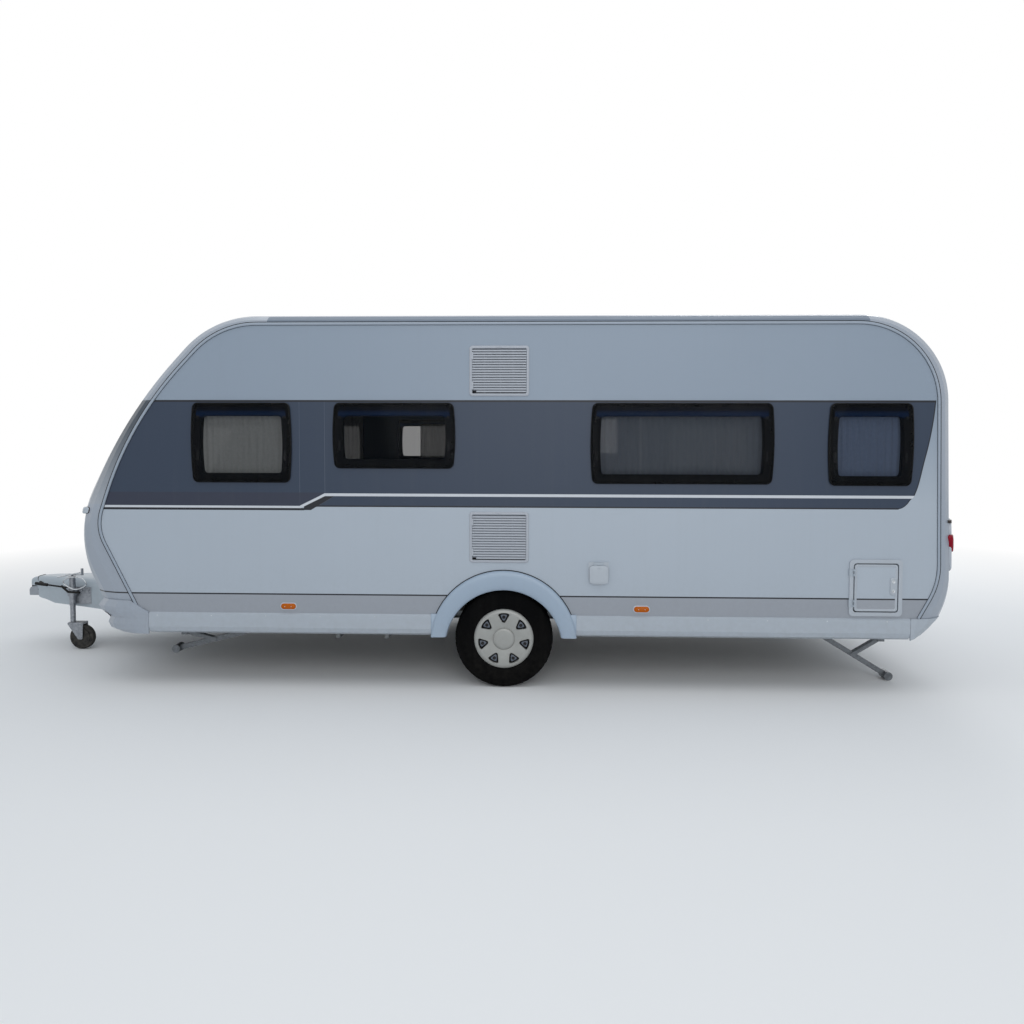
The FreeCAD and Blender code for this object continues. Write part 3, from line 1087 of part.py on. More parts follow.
save("jockey_clamp", clamp.fuse(bolts + [sleeve]))
inner_top = JOCKEY_TOP_Z - JOCKEY_TRAVEL - 20
inner_tube = tube((JOCKEY_X, JOCKEY_Y, FORK_TOP_Z + 2), (JOCKEY_X, JOCKEY_Y, inner_top), JOCKEY_BORE - SEAT_GAP, 16)
plug = tube((JOCKEY_X, JOCKEY_Y, FORK_TOP_Z + 2), (JOCKEY_X, JOCKEY_Y, FORK_TOP_Z + 30), 16, FORK_PIN_RADIUS + 0.3)
save("jockey_tube", inner_tube.fuse(plug))
fork_pin = rod((JOCKEY_X, JOCKEY_Y, FORK_TOP_Z - 5), (JOCKEY_X, JOCKEY_Y, FORK_TOP_Z + 16), FORK_PIN_RADIUS)
crown = box(JOCKEY_X - 24, JOCKEY_X + JOCKEY_TRAIL + 22, JOCKEY_Y - 38, JOCKEY_Y + 38, FORK_TOP_Z - 14, FORK_TOP_Z)
wheel_x = JOCKEY_X + JOCKEY_TRAIL
cheeks = []
for side in (LEFT, RIGHT):
    y0, y1 = sorted((JOCKEY_Y + side * 32, JOCKEY_Y + side * 38))
    cheeks.append(prism_y([(JOCKEY_X - 24, FORK_TOP_Z - 14, 0), (wheel_x - 18, JOCKEY_WHEEL_RADIUS - 16, 12),
                           (wheel_x + 18, JOCKEY_WHEEL_RADIUS - 16, 12), (wheel_x + 22, FORK_TOP_Z - 14, 0)], y0, y1))
axle_pin = rod((wheel_x, JOCKEY_Y - 40, JOCKEY_WHEEL_RADIUS), (wheel_x, JOCKEY_Y + 40, JOCKEY_WHEEL_RADIUS), 8)
save("jockey_fork", crown.fuse(cheeks + [fork_pin, axle_pin]))
wheel = rod((wheel_x, JOCKEY_Y - 26, JOCKEY_WHEEL_RADIUS), (wheel_x, JOCKEY_Y + 26, JOCKEY_WHEEL_RADIUS), 72)
wheel_tyre = Part.Face(rounded_wire([(72, -24, 6), (JOCKEY_WHEEL_RADIUS, -24, 12), (JOCKEY_WHEEL_RADIUS, 24, 12),
                                     (72, 24, 6)],
                                    lambda r, y: Vector(wheel_x + r, JOCKEY_Y + y, JOCKEY_WHEEL_RADIUS)))
wheel_tyre = wheel_tyre.revolve(Vector(wheel_x, 0, JOCKEY_WHEEL_RADIUS), Vector(0, 1, 0), 360)
bore = rod((wheel_x, JOCKEY_Y - 60, JOCKEY_WHEEL_RADIUS), (wheel_x, JOCKEY_Y + 60, JOCKEY_WHEEL_RADIUS), 8.3)
save("jockey_wheel", wheel.fuse(wheel_tyre).cut(bore))

# ---------------------------------------------------------------- handbrake lever
BRAKE_X = JOCKEY_X - 60.0
brake_y = -(rail_y(BRAKE_X) + RAIL_FLANGE) - 26
bracket = box(BRAKE_X - 20, BRAKE_X + 30, brake_y, -rail_y(BRAKE_X + 30) - 6, RAIL_TOP_Z, RAIL_TOP_Z + 6)
upright = box(BRAKE_X - 20, BRAKE_X + 30, brake_y, brake_y + 6, RAIL_TOP_Z, RAIL_TOP_Z + 22)
lever_rod = rod((BRAKE_X, brake_y - 4, RAIL_TOP_Z + 12), (BRAKE_X - 190, brake_y - 4, RAIL_TOP_Z + 36), 7)
grip = rod((BRAKE_X - 190, brake_y - 4, RAIL_TOP_Z + 36), (BRAKE_X - 290, brake_y - 4, RAIL_TOP_Z + 48), 13)
save("hand_levers", coupling_lever, bracket.fuse([upright, lever_rod, grip]))

# ---------------------------------------------------------------- corner steadies
STEADY_ARM = 230.0
STEADY_FOOT_REACH = 60.0
STEADY_Y = 800.0
STEADY_PIVOT_Z = 300.0
STEADY_PIN_RADIUS = 6.0
SHOE_RADIUS = 30.0
SHOE_WIDTH = 90.0
SCREW_RISE = 22.0
SCREW_RADIUS = 7.0
FRONT_STORED_DEG = 14.0
STEADY_LOWERED_SINE = (STEADY_PIVOT_Z - SHOE_RADIUS) / (2 * STEADY_ARM + STEADY_FOOT_REACH)
REAR_LOWERED_DEG = math.degrees(math.asin(STEADY_LOWERED_SINE))
STEADY_PIVOTS = (
    # name, pivot x, direction from the pivot to the screw nut, angle below level at rest
    ("front", NOSE_X + 640.0, 1, FRONT_STORED_DEG),
    ("rear", WAIST_X - 340.0, -1, REAR_LOWERED_DEG),
)


def steady(pivot_x, direction, angle_deg, side):
    """Fixed channel with its screw, the strut and the leg of one corner steady."""
    y = side * STEADY_Y
    z = STEADY_PIVOT_Z
    c, s = math.cos(math.radians(angle_deg)), math.sin(math.radians(angle_deg))

    def along(start, length, up=0.0, sign=-1):
        """Point at a length along the leg (sign -1) or the strut (+1) from a start, up across it."""
        x = start[0] + direction * (c * length * (1 if sign > 0 else -1)) + direction * s * up * (1 if sign > 0 else -1)
        return (x, start[1] - s * length + c * up)
    pivot = (pivot_x, z)
    nut = (pivot_x + direction * 2 * STEADY_ARM * c, z)
    middle = (pivot_x + direction * STEADY_ARM * c, z - STEADY_ARM * s)

    def bar(start, from_length, to_length, low, high, sign, y0, y1):
        corners = [along(start, from_length, low, sign), along(start, to_length, low, sign),
                   along(start, to_length, high, sign), along(start, from_length, high, sign)]
        return prism_y(square(*corners), y + y0, y + y1)

    leg_length = 2 * STEADY_ARM + STEADY_FOOT_REACH
    leg = bar(nut, 40, leg_length - 22, -18, -14, -1, -15, 15)
    leg = leg.fuse([bar(nut, -14, leg_length - 22, -18, 18, -1, 11, 15),
                    bar(nut, -14, leg_length - 22, -18, 18, -1, -15, -11)])
    foot = along(nut, leg_length)
    leg = leg.fuse(rod((foot[0], y - SHOE_WIDTH / 2, foot[1]), (foot[0], y + SHOE_WIDTH / 2, foot[1]), SHOE_RADIUS))
    middle_line = ((middle[0], y - 30, middle[1]), (middle[0], y + 30, middle[1]))
    leg = leg.cut(rod(*middle_line, STEADY_PIN_RADIUS + 0.3)).removeSplitter()

    arm_pieces = []
    for y0, y1 in ((-21, -17), (17, 21)):
        arm_pieces.append(bar(pivot, -12, STEADY_ARM + 12, -13, 13, 1, y0, y1))
    spacer = rod((pivot[0], y - 21, pivot[1]), (pivot[0], y + 21, pivot[1]), 10)
    pin = rod((middle[0], y - 21, middle[1]), (middle[0], y + 21, middle[1]), STEADY_PIN_RADIUS)
    arm = arm_pieces[0].fuse([arm_pieces[1], spacer, pin])
    arm = arm.cut(rod((pivot[0], y - 30, pivot[1]), (pivot[0], y + 30, pivot[1]), STEADY_PIN_RADIUS + 0.3))

    reach = 2 * STEADY_ARM + 60
    x0, x1 = pivot_x - direction * 34, pivot_x + direction * reach
    top = z + SCREW_RISE + 20
    pieces = [box(x0, x1, y - 32, y + 32, top, top + 4)]
    for y0, y1 in ((-32, -26), (26, 32)):
        pieces.append(box(pivot_x - 22, pivot_x + 22, y + y0, y + y1, z - 20, top))
    pieces.append(rod((pivot_x, y - 32, z), (pivot_x, y + 32, z), STEADY_PIN_RADIUS))
    screw_z = z + SCREW_RISE
    pieces.append(rod((x0 - direction * 20, y, screw_z), (x1, y, screw_z), SCREW_RADIUS))
    for x in (x0, x1 - direction * 10):
        pieces.append(box(x, x + direction * 10, y - 20, y + 20, screw_z - 12, top))
    for x in (x0, x1 - direction * 60):
        pieces.append(box(x, x + direction * 60, y - 32, y + 32, top + 4, FLOOR_BOTTOM_Z).cut(
            box(x - 1, x + direction * 60 + direction, y - 28, y + 28, 0, 1000)))
    return pieces[0].fuse(pieces[1:]), arm, leg


steady_channels = []
for where, pivot_x, direction, rest_deg in STEADY_PIVOTS:
    for name, side in SIDES:
        channel, arm, leg = steady(pivot_x, direction, rest_deg, side)
        steady_channels.append(channel)
        save("steady_strut_%s_%s" % (where, name), arm)
        save("steady_leg_%s_%s" % (where, name), leg)
save("steady_channels", *steady_channels)

# ---------------------------------------------------------------- spare wheel under the floor
SPARE_X = NOSE_X + 1900.0
SPARE_Z = 205.0
spare_half = TYRE_WIDTH / 2
spare_profile = [(RIM_DIAMETER / 2, 12, 0), (TYRE_DIAMETER / 2 - 60, 0, 0), (TYRE_DIAMETER / 2 - 18, 12, 0),
                 (TYRE_DIAMETER / 2, 40, 0), (TYRE_DIAMETER / 2, TYRE_WIDTH - 40, 0),
                 (TYRE_DIAMETER / 2 - 18, TYRE_WIDTH - 12, 0), (TYRE_DIAMETER / 2 - 60, TYRE_WIDTH, 0),
                 (RIM_DIAMETER / 2, TYRE_WIDTH - 12, 0)]
spare_wire = rounded_wire(spare_profile, lambda r, z: Vector(SPARE_X + r, 0, SPARE_Z + z))
spare = Part.Face(spare_wire).revolve(Vector(SPARE_X, 0, 0), Vector(0, 0, 1), 360)
save("spare_tyre", spare)
disc = rod((SPARE_X, 0, SPARE_Z + 40), (SPARE_X, 0, SPARE_Z + 48), RIM_DIAMETER / 2 - SEAT_GAP)
bars, hanger_y = [], RAIL_Y + RAIL_FLANGE / 2
for dx in (-190, 190):
    x = SPARE_X + dx
    bars.append(box(x - 15, x + 15, -hanger_y - 15, hanger_y + 15, SPARE_Z - 16 - SEAT_GAP, SPARE_Z - SEAT_GAP))
    for side in (LEFT, RIGHT):
        bars.append(box(x - 15, x + 15, side * (hanger_y - 15), side * (hanger_y + 15), SPARE_Z - 8, RAIL_FOOT_Z))
post = rod((SPARE_X, 0, SPARE_Z - 10), (SPARE_X, 0, SPARE_Z + 41), 14)
strap = box(SPARE_X - 190, SPARE_X + 190, -15, 15, SPARE_Z - 16 - SEAT_GAP, SPARE_Z - 6)
save("spare_carrier", bars[0].fuse(bars[1:] + [strap, post, disc]))

# ---------------------------------------------------------------- cabin furniture
WALL_Y = INNER_Y - SEAT_GAP
BOARD_THICKNESS = 15.0
SEAT_Z = 930.0


def carcass(x0, x1, y0, y1, z0, z1):
    """Cabinet of boards, open at its foot."""
    t = BOARD_THICKNESS
    low_y, high_y = sorted((y0, y1))
    return box(x0, x1, low_y, high_y, z0, z1).cut(box(x0 + t, x1 - t, low_y + t, high_y - t, z0 - 1, z1 - t))


def at(behind):
    """Place behind the nose."""
    return NOSE_X + behind


def ahead(distance):
    """Place ahead of the rear."""
    return WAIST_X - distance


WORKTOP_Z = 1400.0
KITCHEN_DEPTH = 560.0
LOCKER_DEPTH = 300.0
LOCKER_FOOT_Z = 2090.0
SEAT_DEPTH = 700.0
BED_Z = 900.0
CEILING_UNIT_Z = 2440.0
TABLE_Z = 1220.0
BED_PAD = 160.0
SEAT_PAD = 130.0
PAD_MARGIN = 5.0

floor_z = FLOOR_TOP_Z
well_front_x = AXLE_X - WHEEL_BOX_LENGTH / 2
kitchen_y = KITCHEN_DEPTH - WALL_Y
well_y = 1.0 - WHEEL_BOX_INNER_Y
wardrobe = (at(2764), AXLE_X + WHEEL_BOX_LENGTH / 2 - 5)
kitchen = [carcass(at(1880), well_front_x - 4, -WALL_Y, kitchen_y, floor_z, WORKTOP_Z),
           carcass(well_front_x, at(2760), -WALL_Y, kitchen_y, WHEEL_BOX_TOP_Z, WORKTOP_Z)]
tall_units = [carcass(at(2764), at(3215), well_y + 4, kitchen_y, floor_z, CEILING_UNIT_Z),
              carcass(*wardrobe, -WALL_Y, well_y, WHEEL_BOX_TOP_Z, CEILING_UNIT_Z),
              carcass(*wardrobe, WALL_Y, WALL_Y - KITCHEN_DEPTH + 40, WHEEL_BOX_TOP_Z, CEILING_UNIT_Z)]
bed = [carcass(at(680), at(1840), -WALL_Y, WALL_Y, floor_z, BED_Z)]
seat_places = (
    # front x, rear x, wall y, aisle y
    (ahead(2432), ahead(2012), -WALL_Y, SEAT_DEPTH - WALL_Y),
    (ahead(1652), ahead(1232), -WALL_Y, SEAT_DEPTH - WALL_Y),
    (ahead(1652), ahead(512), WALL_Y, WALL_Y - KITCHEN_DEPTH),
)
seats = [carcass(*place, floor_z, SEAT_Z) for place in seat_places]
table = [rod((ahead(1832), -700, floor_z), (ahead(1832), -700, TABLE_Z), 30).fuse(
    prism_z(rectangle(ahead(1832), -770, 620, 640, 60), TABLE_Z, TABLE_Z + 28))]
washroom = [box(ahead(1172), ahead(1157), -WALL_Y, -250, floor_z, 2460).fuse(
    box(ahead(1157), ahead(312), -265, -250, floor_z, 2460))]
lockers = [carcass(at(1880), at(2760), -WALL_Y, LOCKER_DEPTH - WALL_Y, LOCKER_FOOT_Z, CEILING_UNIT_Z),
           carcass(ahead(2432), ahead(1182), -WALL_Y, LOCKER_DEPTH - WALL_Y, LOCKER_FOOT_Z, CEILING_UNIT_Z),
           carcass(ahead(1652), ahead(512), WALL_Y, WALL_Y - LOCKER_DEPTH, LOCKER_FOOT_Z, CEILING_UNIT_Z)]
save("cabinets", *kitchen, *tall_units, *bed, *seats, *table, *washroom, *lockers)
pads = [box(at(680) + PAD_MARGIN, at(1840) - PAD_MARGIN, PAD_MARGIN - WALL_Y, WALL_Y - PAD_MARGIN,
            BED_Z + SEAT_GAP, BED_Z + BED_PAD)]
for x0, x1, wall_y, aisle_y in seat_places:
    inward = math.copysign(PAD_MARGIN, aisle_y - wall_y)
    pads.append(box(x0 + PAD_MARGIN, x1 - PAD_MARGIN, wall_y + inward, aisle_y - inward,
                    SEAT_Z + SEAT_GAP, SEAT_Z + SEAT_PAD))
save("cushions", *pads)

CURTAIN_THICKNESS = 10.0
curtains = []
for number in (0, 2, 4, 6):
    side, x, z, width, height = window_place(WINDOWS[number])
    y1 = INNER_Y - SEAT_GAP
    blind = box(x - width / 2 + 30, x + width / 2 - 30, y1 - CURTAIN_THICKNESS, y1, z - height / 2 - 20, z + height / 2 + 40)
    curtains.append(on_side(blind, side))
save("curtains", *curtains)
save("hinge_leaves", *root_hinges)
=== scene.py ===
import json
import math
import random

import bmesh
import bpy
from mathutils import Matrix, Vector
from mathutils.bvhtree import BVHTree


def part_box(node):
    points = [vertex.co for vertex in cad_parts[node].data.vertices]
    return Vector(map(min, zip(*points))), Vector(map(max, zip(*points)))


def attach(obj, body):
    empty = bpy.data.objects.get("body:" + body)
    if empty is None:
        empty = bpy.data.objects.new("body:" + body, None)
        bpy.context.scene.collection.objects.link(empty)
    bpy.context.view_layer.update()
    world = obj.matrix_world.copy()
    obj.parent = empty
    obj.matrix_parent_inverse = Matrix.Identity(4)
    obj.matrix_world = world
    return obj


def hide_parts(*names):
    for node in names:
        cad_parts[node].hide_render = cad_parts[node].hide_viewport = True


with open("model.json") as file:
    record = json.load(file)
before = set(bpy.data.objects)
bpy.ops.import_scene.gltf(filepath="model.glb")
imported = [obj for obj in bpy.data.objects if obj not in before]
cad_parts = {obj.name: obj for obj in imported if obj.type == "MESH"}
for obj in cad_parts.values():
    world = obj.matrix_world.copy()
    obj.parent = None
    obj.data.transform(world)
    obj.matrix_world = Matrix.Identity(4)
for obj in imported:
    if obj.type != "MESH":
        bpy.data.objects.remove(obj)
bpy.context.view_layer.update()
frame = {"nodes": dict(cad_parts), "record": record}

NODES = frame["nodes"]
SIDES = (("left", -1), ("right", 1))
EDGE_SOFT = 0.0008       # half width of a painted edge, in metres


# ---------------------------------------------------------------- small helpers
def srgb(red, green, blue):
    """Linear colour from 0-255 display values."""
    def linear(value):
        value /= 255
        return value / 12.92 if value <= 0.04045 else ((value + 0.055) / 1.055) ** 2.4
    return (linear(red), linear(green), linear(blue), 1.0)


def fill(tree, socket, value):
    """Links a value from another node into a socket, or sets it there."""
    if isinstance(value, bpy.types.NodeSocket):
        tree.links.new(value, socket)
    else:
        socket.default_value = value


def add_node(tree, kind, settings=(), **inputs):
    """New shader node. Inputs go by socket name (underscores for spaces) or by place, as i0, i1."""
    made = tree.nodes.new(kind)
    for key, value in dict(settings).items():
        setattr(made, key, value)
    for key, value in inputs.items():
        by_place = key[0] == "i" and key[1:].isdigit()
        fill(tree, made.inputs[int(key[1:]) if by_place else key.replace("_", " ")], value)
    return made


def math_of(tree, operation, a, b=0.0, c=0.0):
    """Output of one Math node."""
    return add_node(tree, "ShaderNodeMath", {"operation": operation}, i0=a, i1=b, i2=c).outputs[0]


def product(tree, *values):
    """Product of several values."""
    result = values[0]
    for value in values[1:]:
        result = math_of(tree, "MULTIPLY", result, value)
    return result


def remap(tree, value, low, high, first=0.0, last=1.0):
    """Value that goes from first to last while another goes from low to high."""
    return add_node(tree, "ShaderNodeMapRange", i0=value, i1=low, i2=high, i3=first, i4=last).outputs[0]


def above(tree, value, edge, soft=EDGE_SOFT):
    """1 where the value is over the edge, else 0."""
    return remap(tree, value, edge - soft, edge + soft)


def between(tree, value, low, high, soft=EDGE_SOFT):
    """1 where the value lies from low to high, else 0, with soft edges."""
    return product(tree, above(tree, value, low, soft), remap(tree, value, high - soft, high + soft, 1.0, 0.0))


def on_part(tree):
    """Place on the part, as a vector and as its X, Y and Z."""
    place = add_node(tree, "ShaderNodeTexCoord").outputs["Object"]
    return place, add_node(tree, "ShaderNodeSeparateXYZ", Vector=place).outputs


def noise_of(tree, place, scale, detail, **inputs):
    """Value of a noise texture."""
    return add_node(tree, "ShaderNodeTexNoise", Vector=place, Scale=scale, Detail=detail, **inputs).outputs[0]


def streaks_of(tree, place, stretch, detail=3.0):
    """Noise drawn out along the axis with the smallest stretch."""
    return noise_of(tree, add_node(tree, "ShaderNodeMapping", Vector=place, Scale=stretch).outputs[0], 1.0, detail)


def toned_by(tree, value, colour):
    """Colour made lighter or darker by a value."""
    return add_node(tree, "ShaderNodeHueSaturation", Value=value, Color=colour).outputs[0]


def bumped(tree, height, strength, distance):
    """Normal of a bump."""
    return add_node(tree, "ShaderNodeBump", Strength=strength, Distance=distance, Height=height).outputs[0]


def mix_colour(tree, factor, first, second):
    """Colour mix of two colours."""
    made = tree.nodes.new("ShaderNodeMix")
    made.data_type = "RGBA"
    for socket, value in ((0, factor), (6, first), (7, second)):
        fill(tree, made.inputs[socket], value)
    return made.outputs[2]


def new_group(name, inputs, outputs):
    """Node group with its input and output nodes."""
    tree = bpy.data.node_groups.new(name, "ShaderNodeTree")
    for label, kind, value in inputs:
        socket = tree.interface.new_socket(label, in_out="INPUT", socket_type="NodeSocket" + kind)
        if value is not None:
            socket.default_value = value
    for label, kind in outputs:
        tree.interface.new_socket(label, in_out="OUTPUT", socket_type="NodeSocket" + kind)
    return tree, tree.nodes.new("NodeGroupInput").outputs, tree.nodes.new("NodeGroupOutput").inputs


def place_group(tree, group, **inputs):
    """A node group set in a material."""
    made = tree.nodes.new("ShaderNodeGroup")
    made.node_tree = group
    for key, value in inputs.items():
        fill(tree, made.inputs[key.replace("_", " ")], value)
    return made.outputs


# ---------------------------------------------------------------- shared surface effects
def make_soiling():
    """Uneven tone, rain streaks and road dust that thickens towards the ground."""
    tree, given, out = new_group(
        "soiling",
        [("Colour", "Color", (0.5, 0.5, 0.5, 1)), ("Dust Colour", "Color", srgb(120, 116, 108)),
         ("Dust", "Float", 0.3), ("Dust Height", "Float", 0.9), ("Unevenness", "Float", 0.06),
         ("Roughness", "Float", 0.4)],
        [("Colour", "Color"), ("Roughness", "Float")])
    place, parts = on_part(tree)
    tone = noise_of(tree, place, 2.3, 4.0, Roughness=0.6)
    fine = noise_of(tree, place, 34.0, 3.0)
    streak = remap(tree, streaks_of(tree, place, (22.0, 22.0, 0.9)), 0.52, 0.78)
    low = remap(tree, parts["Z"], given["Dust Height"], 0.15)
    patch = remap(tree, fine, 0.3, 0.75)
    dust = product(tree, low, patch, given["Dust"])
    dust = math_of(tree, "ADD", dust, product(tree, streak, given["Unevenness"], 0.8))
    half_swing = product(tree, given["Unevenness"], -0.5)
    swing = math_of(tree, "MULTIPLY_ADD", tone, given["Unevenness"], half_swing)
    toned = toned_by(tree, math_of(tree, "ADD", swing, 1.0), given["Colour"])
    tree.links.new(mix_colour(tree, dust, toned, given["Dust Colour"]), out["Colour"])
    rough = math_of(tree, "MULTIPLY_ADD", dust, 0.5, given["Roughness"])
    tree.links.new(math_of(tree, "MULTIPLY_ADD", fine, 0.06, rough), out["Roughness"])
    return tree


def make_pebble():
    """Fine pebbled surface of moulded plastic and stucco sheet."""
    tree, given, out = new_group(
        "pebble", [("Scale", "Float", 220.0), ("Depth", "Float", 0.0002)], [("Normal", "Vector")])
    place = on_part(tree)[0]
    cells = add_node(tree, "ShaderNodeTexVoronoi", {"feature": "SMOOTH_F1"}, Vector=place, Scale=given["Scale"])
    height = math_of(tree, "ADD", cells.outputs[0], noise_of(tree, place, given["Scale"], 2.0))
    tree.links.new(bumped(tree, height, 1.0, given["Depth"]), out["Normal"])
    return tree


def make_zinc():
    """Spangled, streaked zinc on steel."""
    tree, given, out = new_group(
        "zinc", [("Colour", "Color", srgb(128, 132, 134)), ("Rust", "Float", 0.1)],
        [("Colour", "Color"), ("Roughness", "Float"), ("Metallic", "Float"), ("Normal", "Vector")])
    place = on_part(tree)[0]
    spangle = add_node(tree, "ShaderNodeTexVoronoi", Vector=place, Scale=70.0).outputs["Color"]
    grey = add_node(tree, "ShaderNodeSeparateColor", Color=spangle).outputs[0]
    toned = toned_by(tree, remap(tree, grey, 0.0, 1.0, 0.78, 1.16), given["Colour"])
    pits = noise_of(tree, place, 9.0, 6.0, Roughness=0.7)
    rust = product(tree, remap(tree, pits, 0.6, 0.74), given["Rust"])
    tree.links.new(mix_colour(tree, rust, toned, srgb(96, 66, 46)), out["Colour"])
    rough = remap(tree, grey, 0.0, 1.0, 0.36, 0.56)
    tree.links.new(math_of(tree, "ADD", rough, rust), out["Roughness"])
    tree.links.new(remap(tree, rust, 0.0, 1.0, 0.85, 0.1), out["Metallic"])
    tree.links.new(bumped(tree, pits, 0.4, 0.0004), out["Normal"])
    return tree


def make_weave():
    """Over-and-under cloth weave."""
    tree, given, out = new_group(
        "weave",
        [("Colour", "Color", srgb(120, 116, 112)), ("Threads", "Float", 700.0), ("Contrast", "Float", 0.2)],
        [("Colour", "Color"), ("Normal", "Vector")])
    place, parts = on_part(tree)
    flat = math_of(tree, "ADD", parts["X"], parts["Y"])
    along = math_of(tree, "SINE", product(tree, flat, given["Threads"]))
    across = math_of(tree, "SINE", product(tree, parts["Z"], given["Threads"]))
    mask = math_of(tree, "MULTIPLY_ADD", product(tree, along, across), 0.5, 0.5)
    tone = noise_of(tree, place, 60.0, 3.0)
    shade = product(tree, math_of(tree, "ADD", mask, tone), given["Contrast"])
    value = math_of(tree, "ADD", math_of(tree, "SUBTRACT", 1.0, given["Contrast"]), shade)
    tree.links.new(toned_by(tree, value, given["Colour"]), out["Colour"])
    tree.links.new(bumped(tree, mask, 0.5, 0.0005), out["Normal"])
    return tree


def make_timber():
    """Printed wood grain of decor board."""
    tree, given, out = new_group(
        "timber",
        [("Light", "Color", srgb(168, 138, 104)), ("Dark", "Color", srgb(118, 90, 62)), ("Scale", "Float", 3.0)],
        [("Colour", "Color"), ("Normal", "Vector")])
    place = on_part(tree)[0]
    stretched = add_node(tree, "ShaderNodeMapping", Vector=place, Scale=(0.4, 6.0, 6.0)).outputs[0]
    rings = noise_of(tree, stretched, given["Scale"], 8.0, Distortion=1.2)
    pore = streaks_of(tree, place, (20.0, 500.0, 500.0), 2.0)
    blend = math_of(tree, "MULTIPLY_ADD", pore, 0.25, remap(tree, rings, 0.3, 0.7))
    tree.links.new(mix_colour(tree, blend, given["Light"], given["Dark"]), out["Colour"])
    tree.links.new(bumped(tree, pore, 0.3, 0.0003), out["Normal"])
    return tree


SOILING = make_soiling()
PEBBLE = make_pebble()
ZINC = make_zinc()
WEAVE = make_weave()
TIMBER = make_timber()


# ---------------------------------------------------------------- materials
def new_material(name, metallic=0.0, ior=1.5, coat=0.0, shine=0.5):
    """Material with its Principled shader, whose fixed numbers sit on the shader's own sockets."""
    made = bpy.data.materials.new(name)
    made.use_nodes = True
    tree = made.node_tree
    shader = tree.nodes["Principled BSDF"]
    shader.inputs["Metallic"].default_value = metallic
    shader.inputs["IOR"].default_value = ior
    shader.inputs["Coat Weight"].default_value = coat
    shader.inputs["Specular IOR Level"].default_value = shine
    return made, tree, shader


def feed(tree, shader, **links):
    """Links or values into the shader's sockets."""
    for key, value in links.items():
        fill(tree, shader.inputs[key.replace("_", " ")], value)


def soiled(name, colour, rough, dust=0.25, height=0.9, uneven=0.05, grain=260.0, depth=0.00008, painter=None, **fixed):
    """Painted or moulded surface: a tone, wear by the road and a fine grain."""
    made, tree, shader = new_material(name, **fixed)
    base = painter(tree) if painter else colour
    worn = place_group(tree, SOILING, Colour=base, Dust=dust, Dust_Height=height, Unevenness=uneven, Roughness=rough)
    feed(tree, shader, Base_Color=worn["Colour"], Roughness=worn["Roughness"],
         Normal=place_group(tree, PEBBLE, Scale=grain, Depth=depth)["Normal"])
    return made


def zinc(name, colour, rust=0.1):
    """Galvanised or plated steel."""
    made, tree, shader = new_material(name)
    found = place_group(tree, ZINC, Colour=colour, Rust=rust)
    feed(tree, shader, Base_Color=found["Colour"], Roughness=found["Roughness"], Metallic=found["Metallic"],
         Normal=found["Normal"])
    return made


# places of the painted band and stripes on the side walls, in metres
BAND_TOP_Z = 1.990
BAND_EDGE = 0.013                                  # dark line along the band's top
BAND_FOOT_Z = {"front": 1.250, "rear": 1.342}      # foot of the band before and behind its step
STEP_X = (-0.8955, -0.7215)                        # where the band's foot climbs
STEP_SLOPE = 0.54
SHADE_Z = (1.2, 1.357)                             # darker foot of the band before the step
LOWER_BAND_Z = (1.265, 1.334)                      # second band, under the stripe
LOWER_BAND_SLOPE = 0.588                           # its slanted front end, which starts at this place:
LOWER_BAND_START = (-0.814, 1.240)
LINE_Z = {"front": 1.257, "rear": 1.3425}          # middle of the pale stripe
LINE_SLOPE = 0.4914
TAIL_LINE = 0.007
LOW_LINE_Z = 0.652
LOW_LINE_HALF = 0.005
BAND_TAIL = ((3.392, 1.98), (3.370, 1.794), (3.329, 1.593), (3.262, 1.345), (3.241, 1.325), (3.221, 1.298),
             (3.195, 1.274), (3.163, 1.262))       # (x, z) down the band's curved rear end
FAR = 9.0                                          # past every end of the part
UPPER_WALL = srgb(138, 150, 164)
LOWER_WALL = srgb(167, 176, 186)
BAND = srgb(50, 61, 78)
BAND_SHADE = srgb(50, 55, 70)
STRIPE_LIGHT = srgb(196, 200, 206)
STRIPE_DARK = srgb(34, 36, 42)
LOW_ZONE = srgb(148, 153, 161)


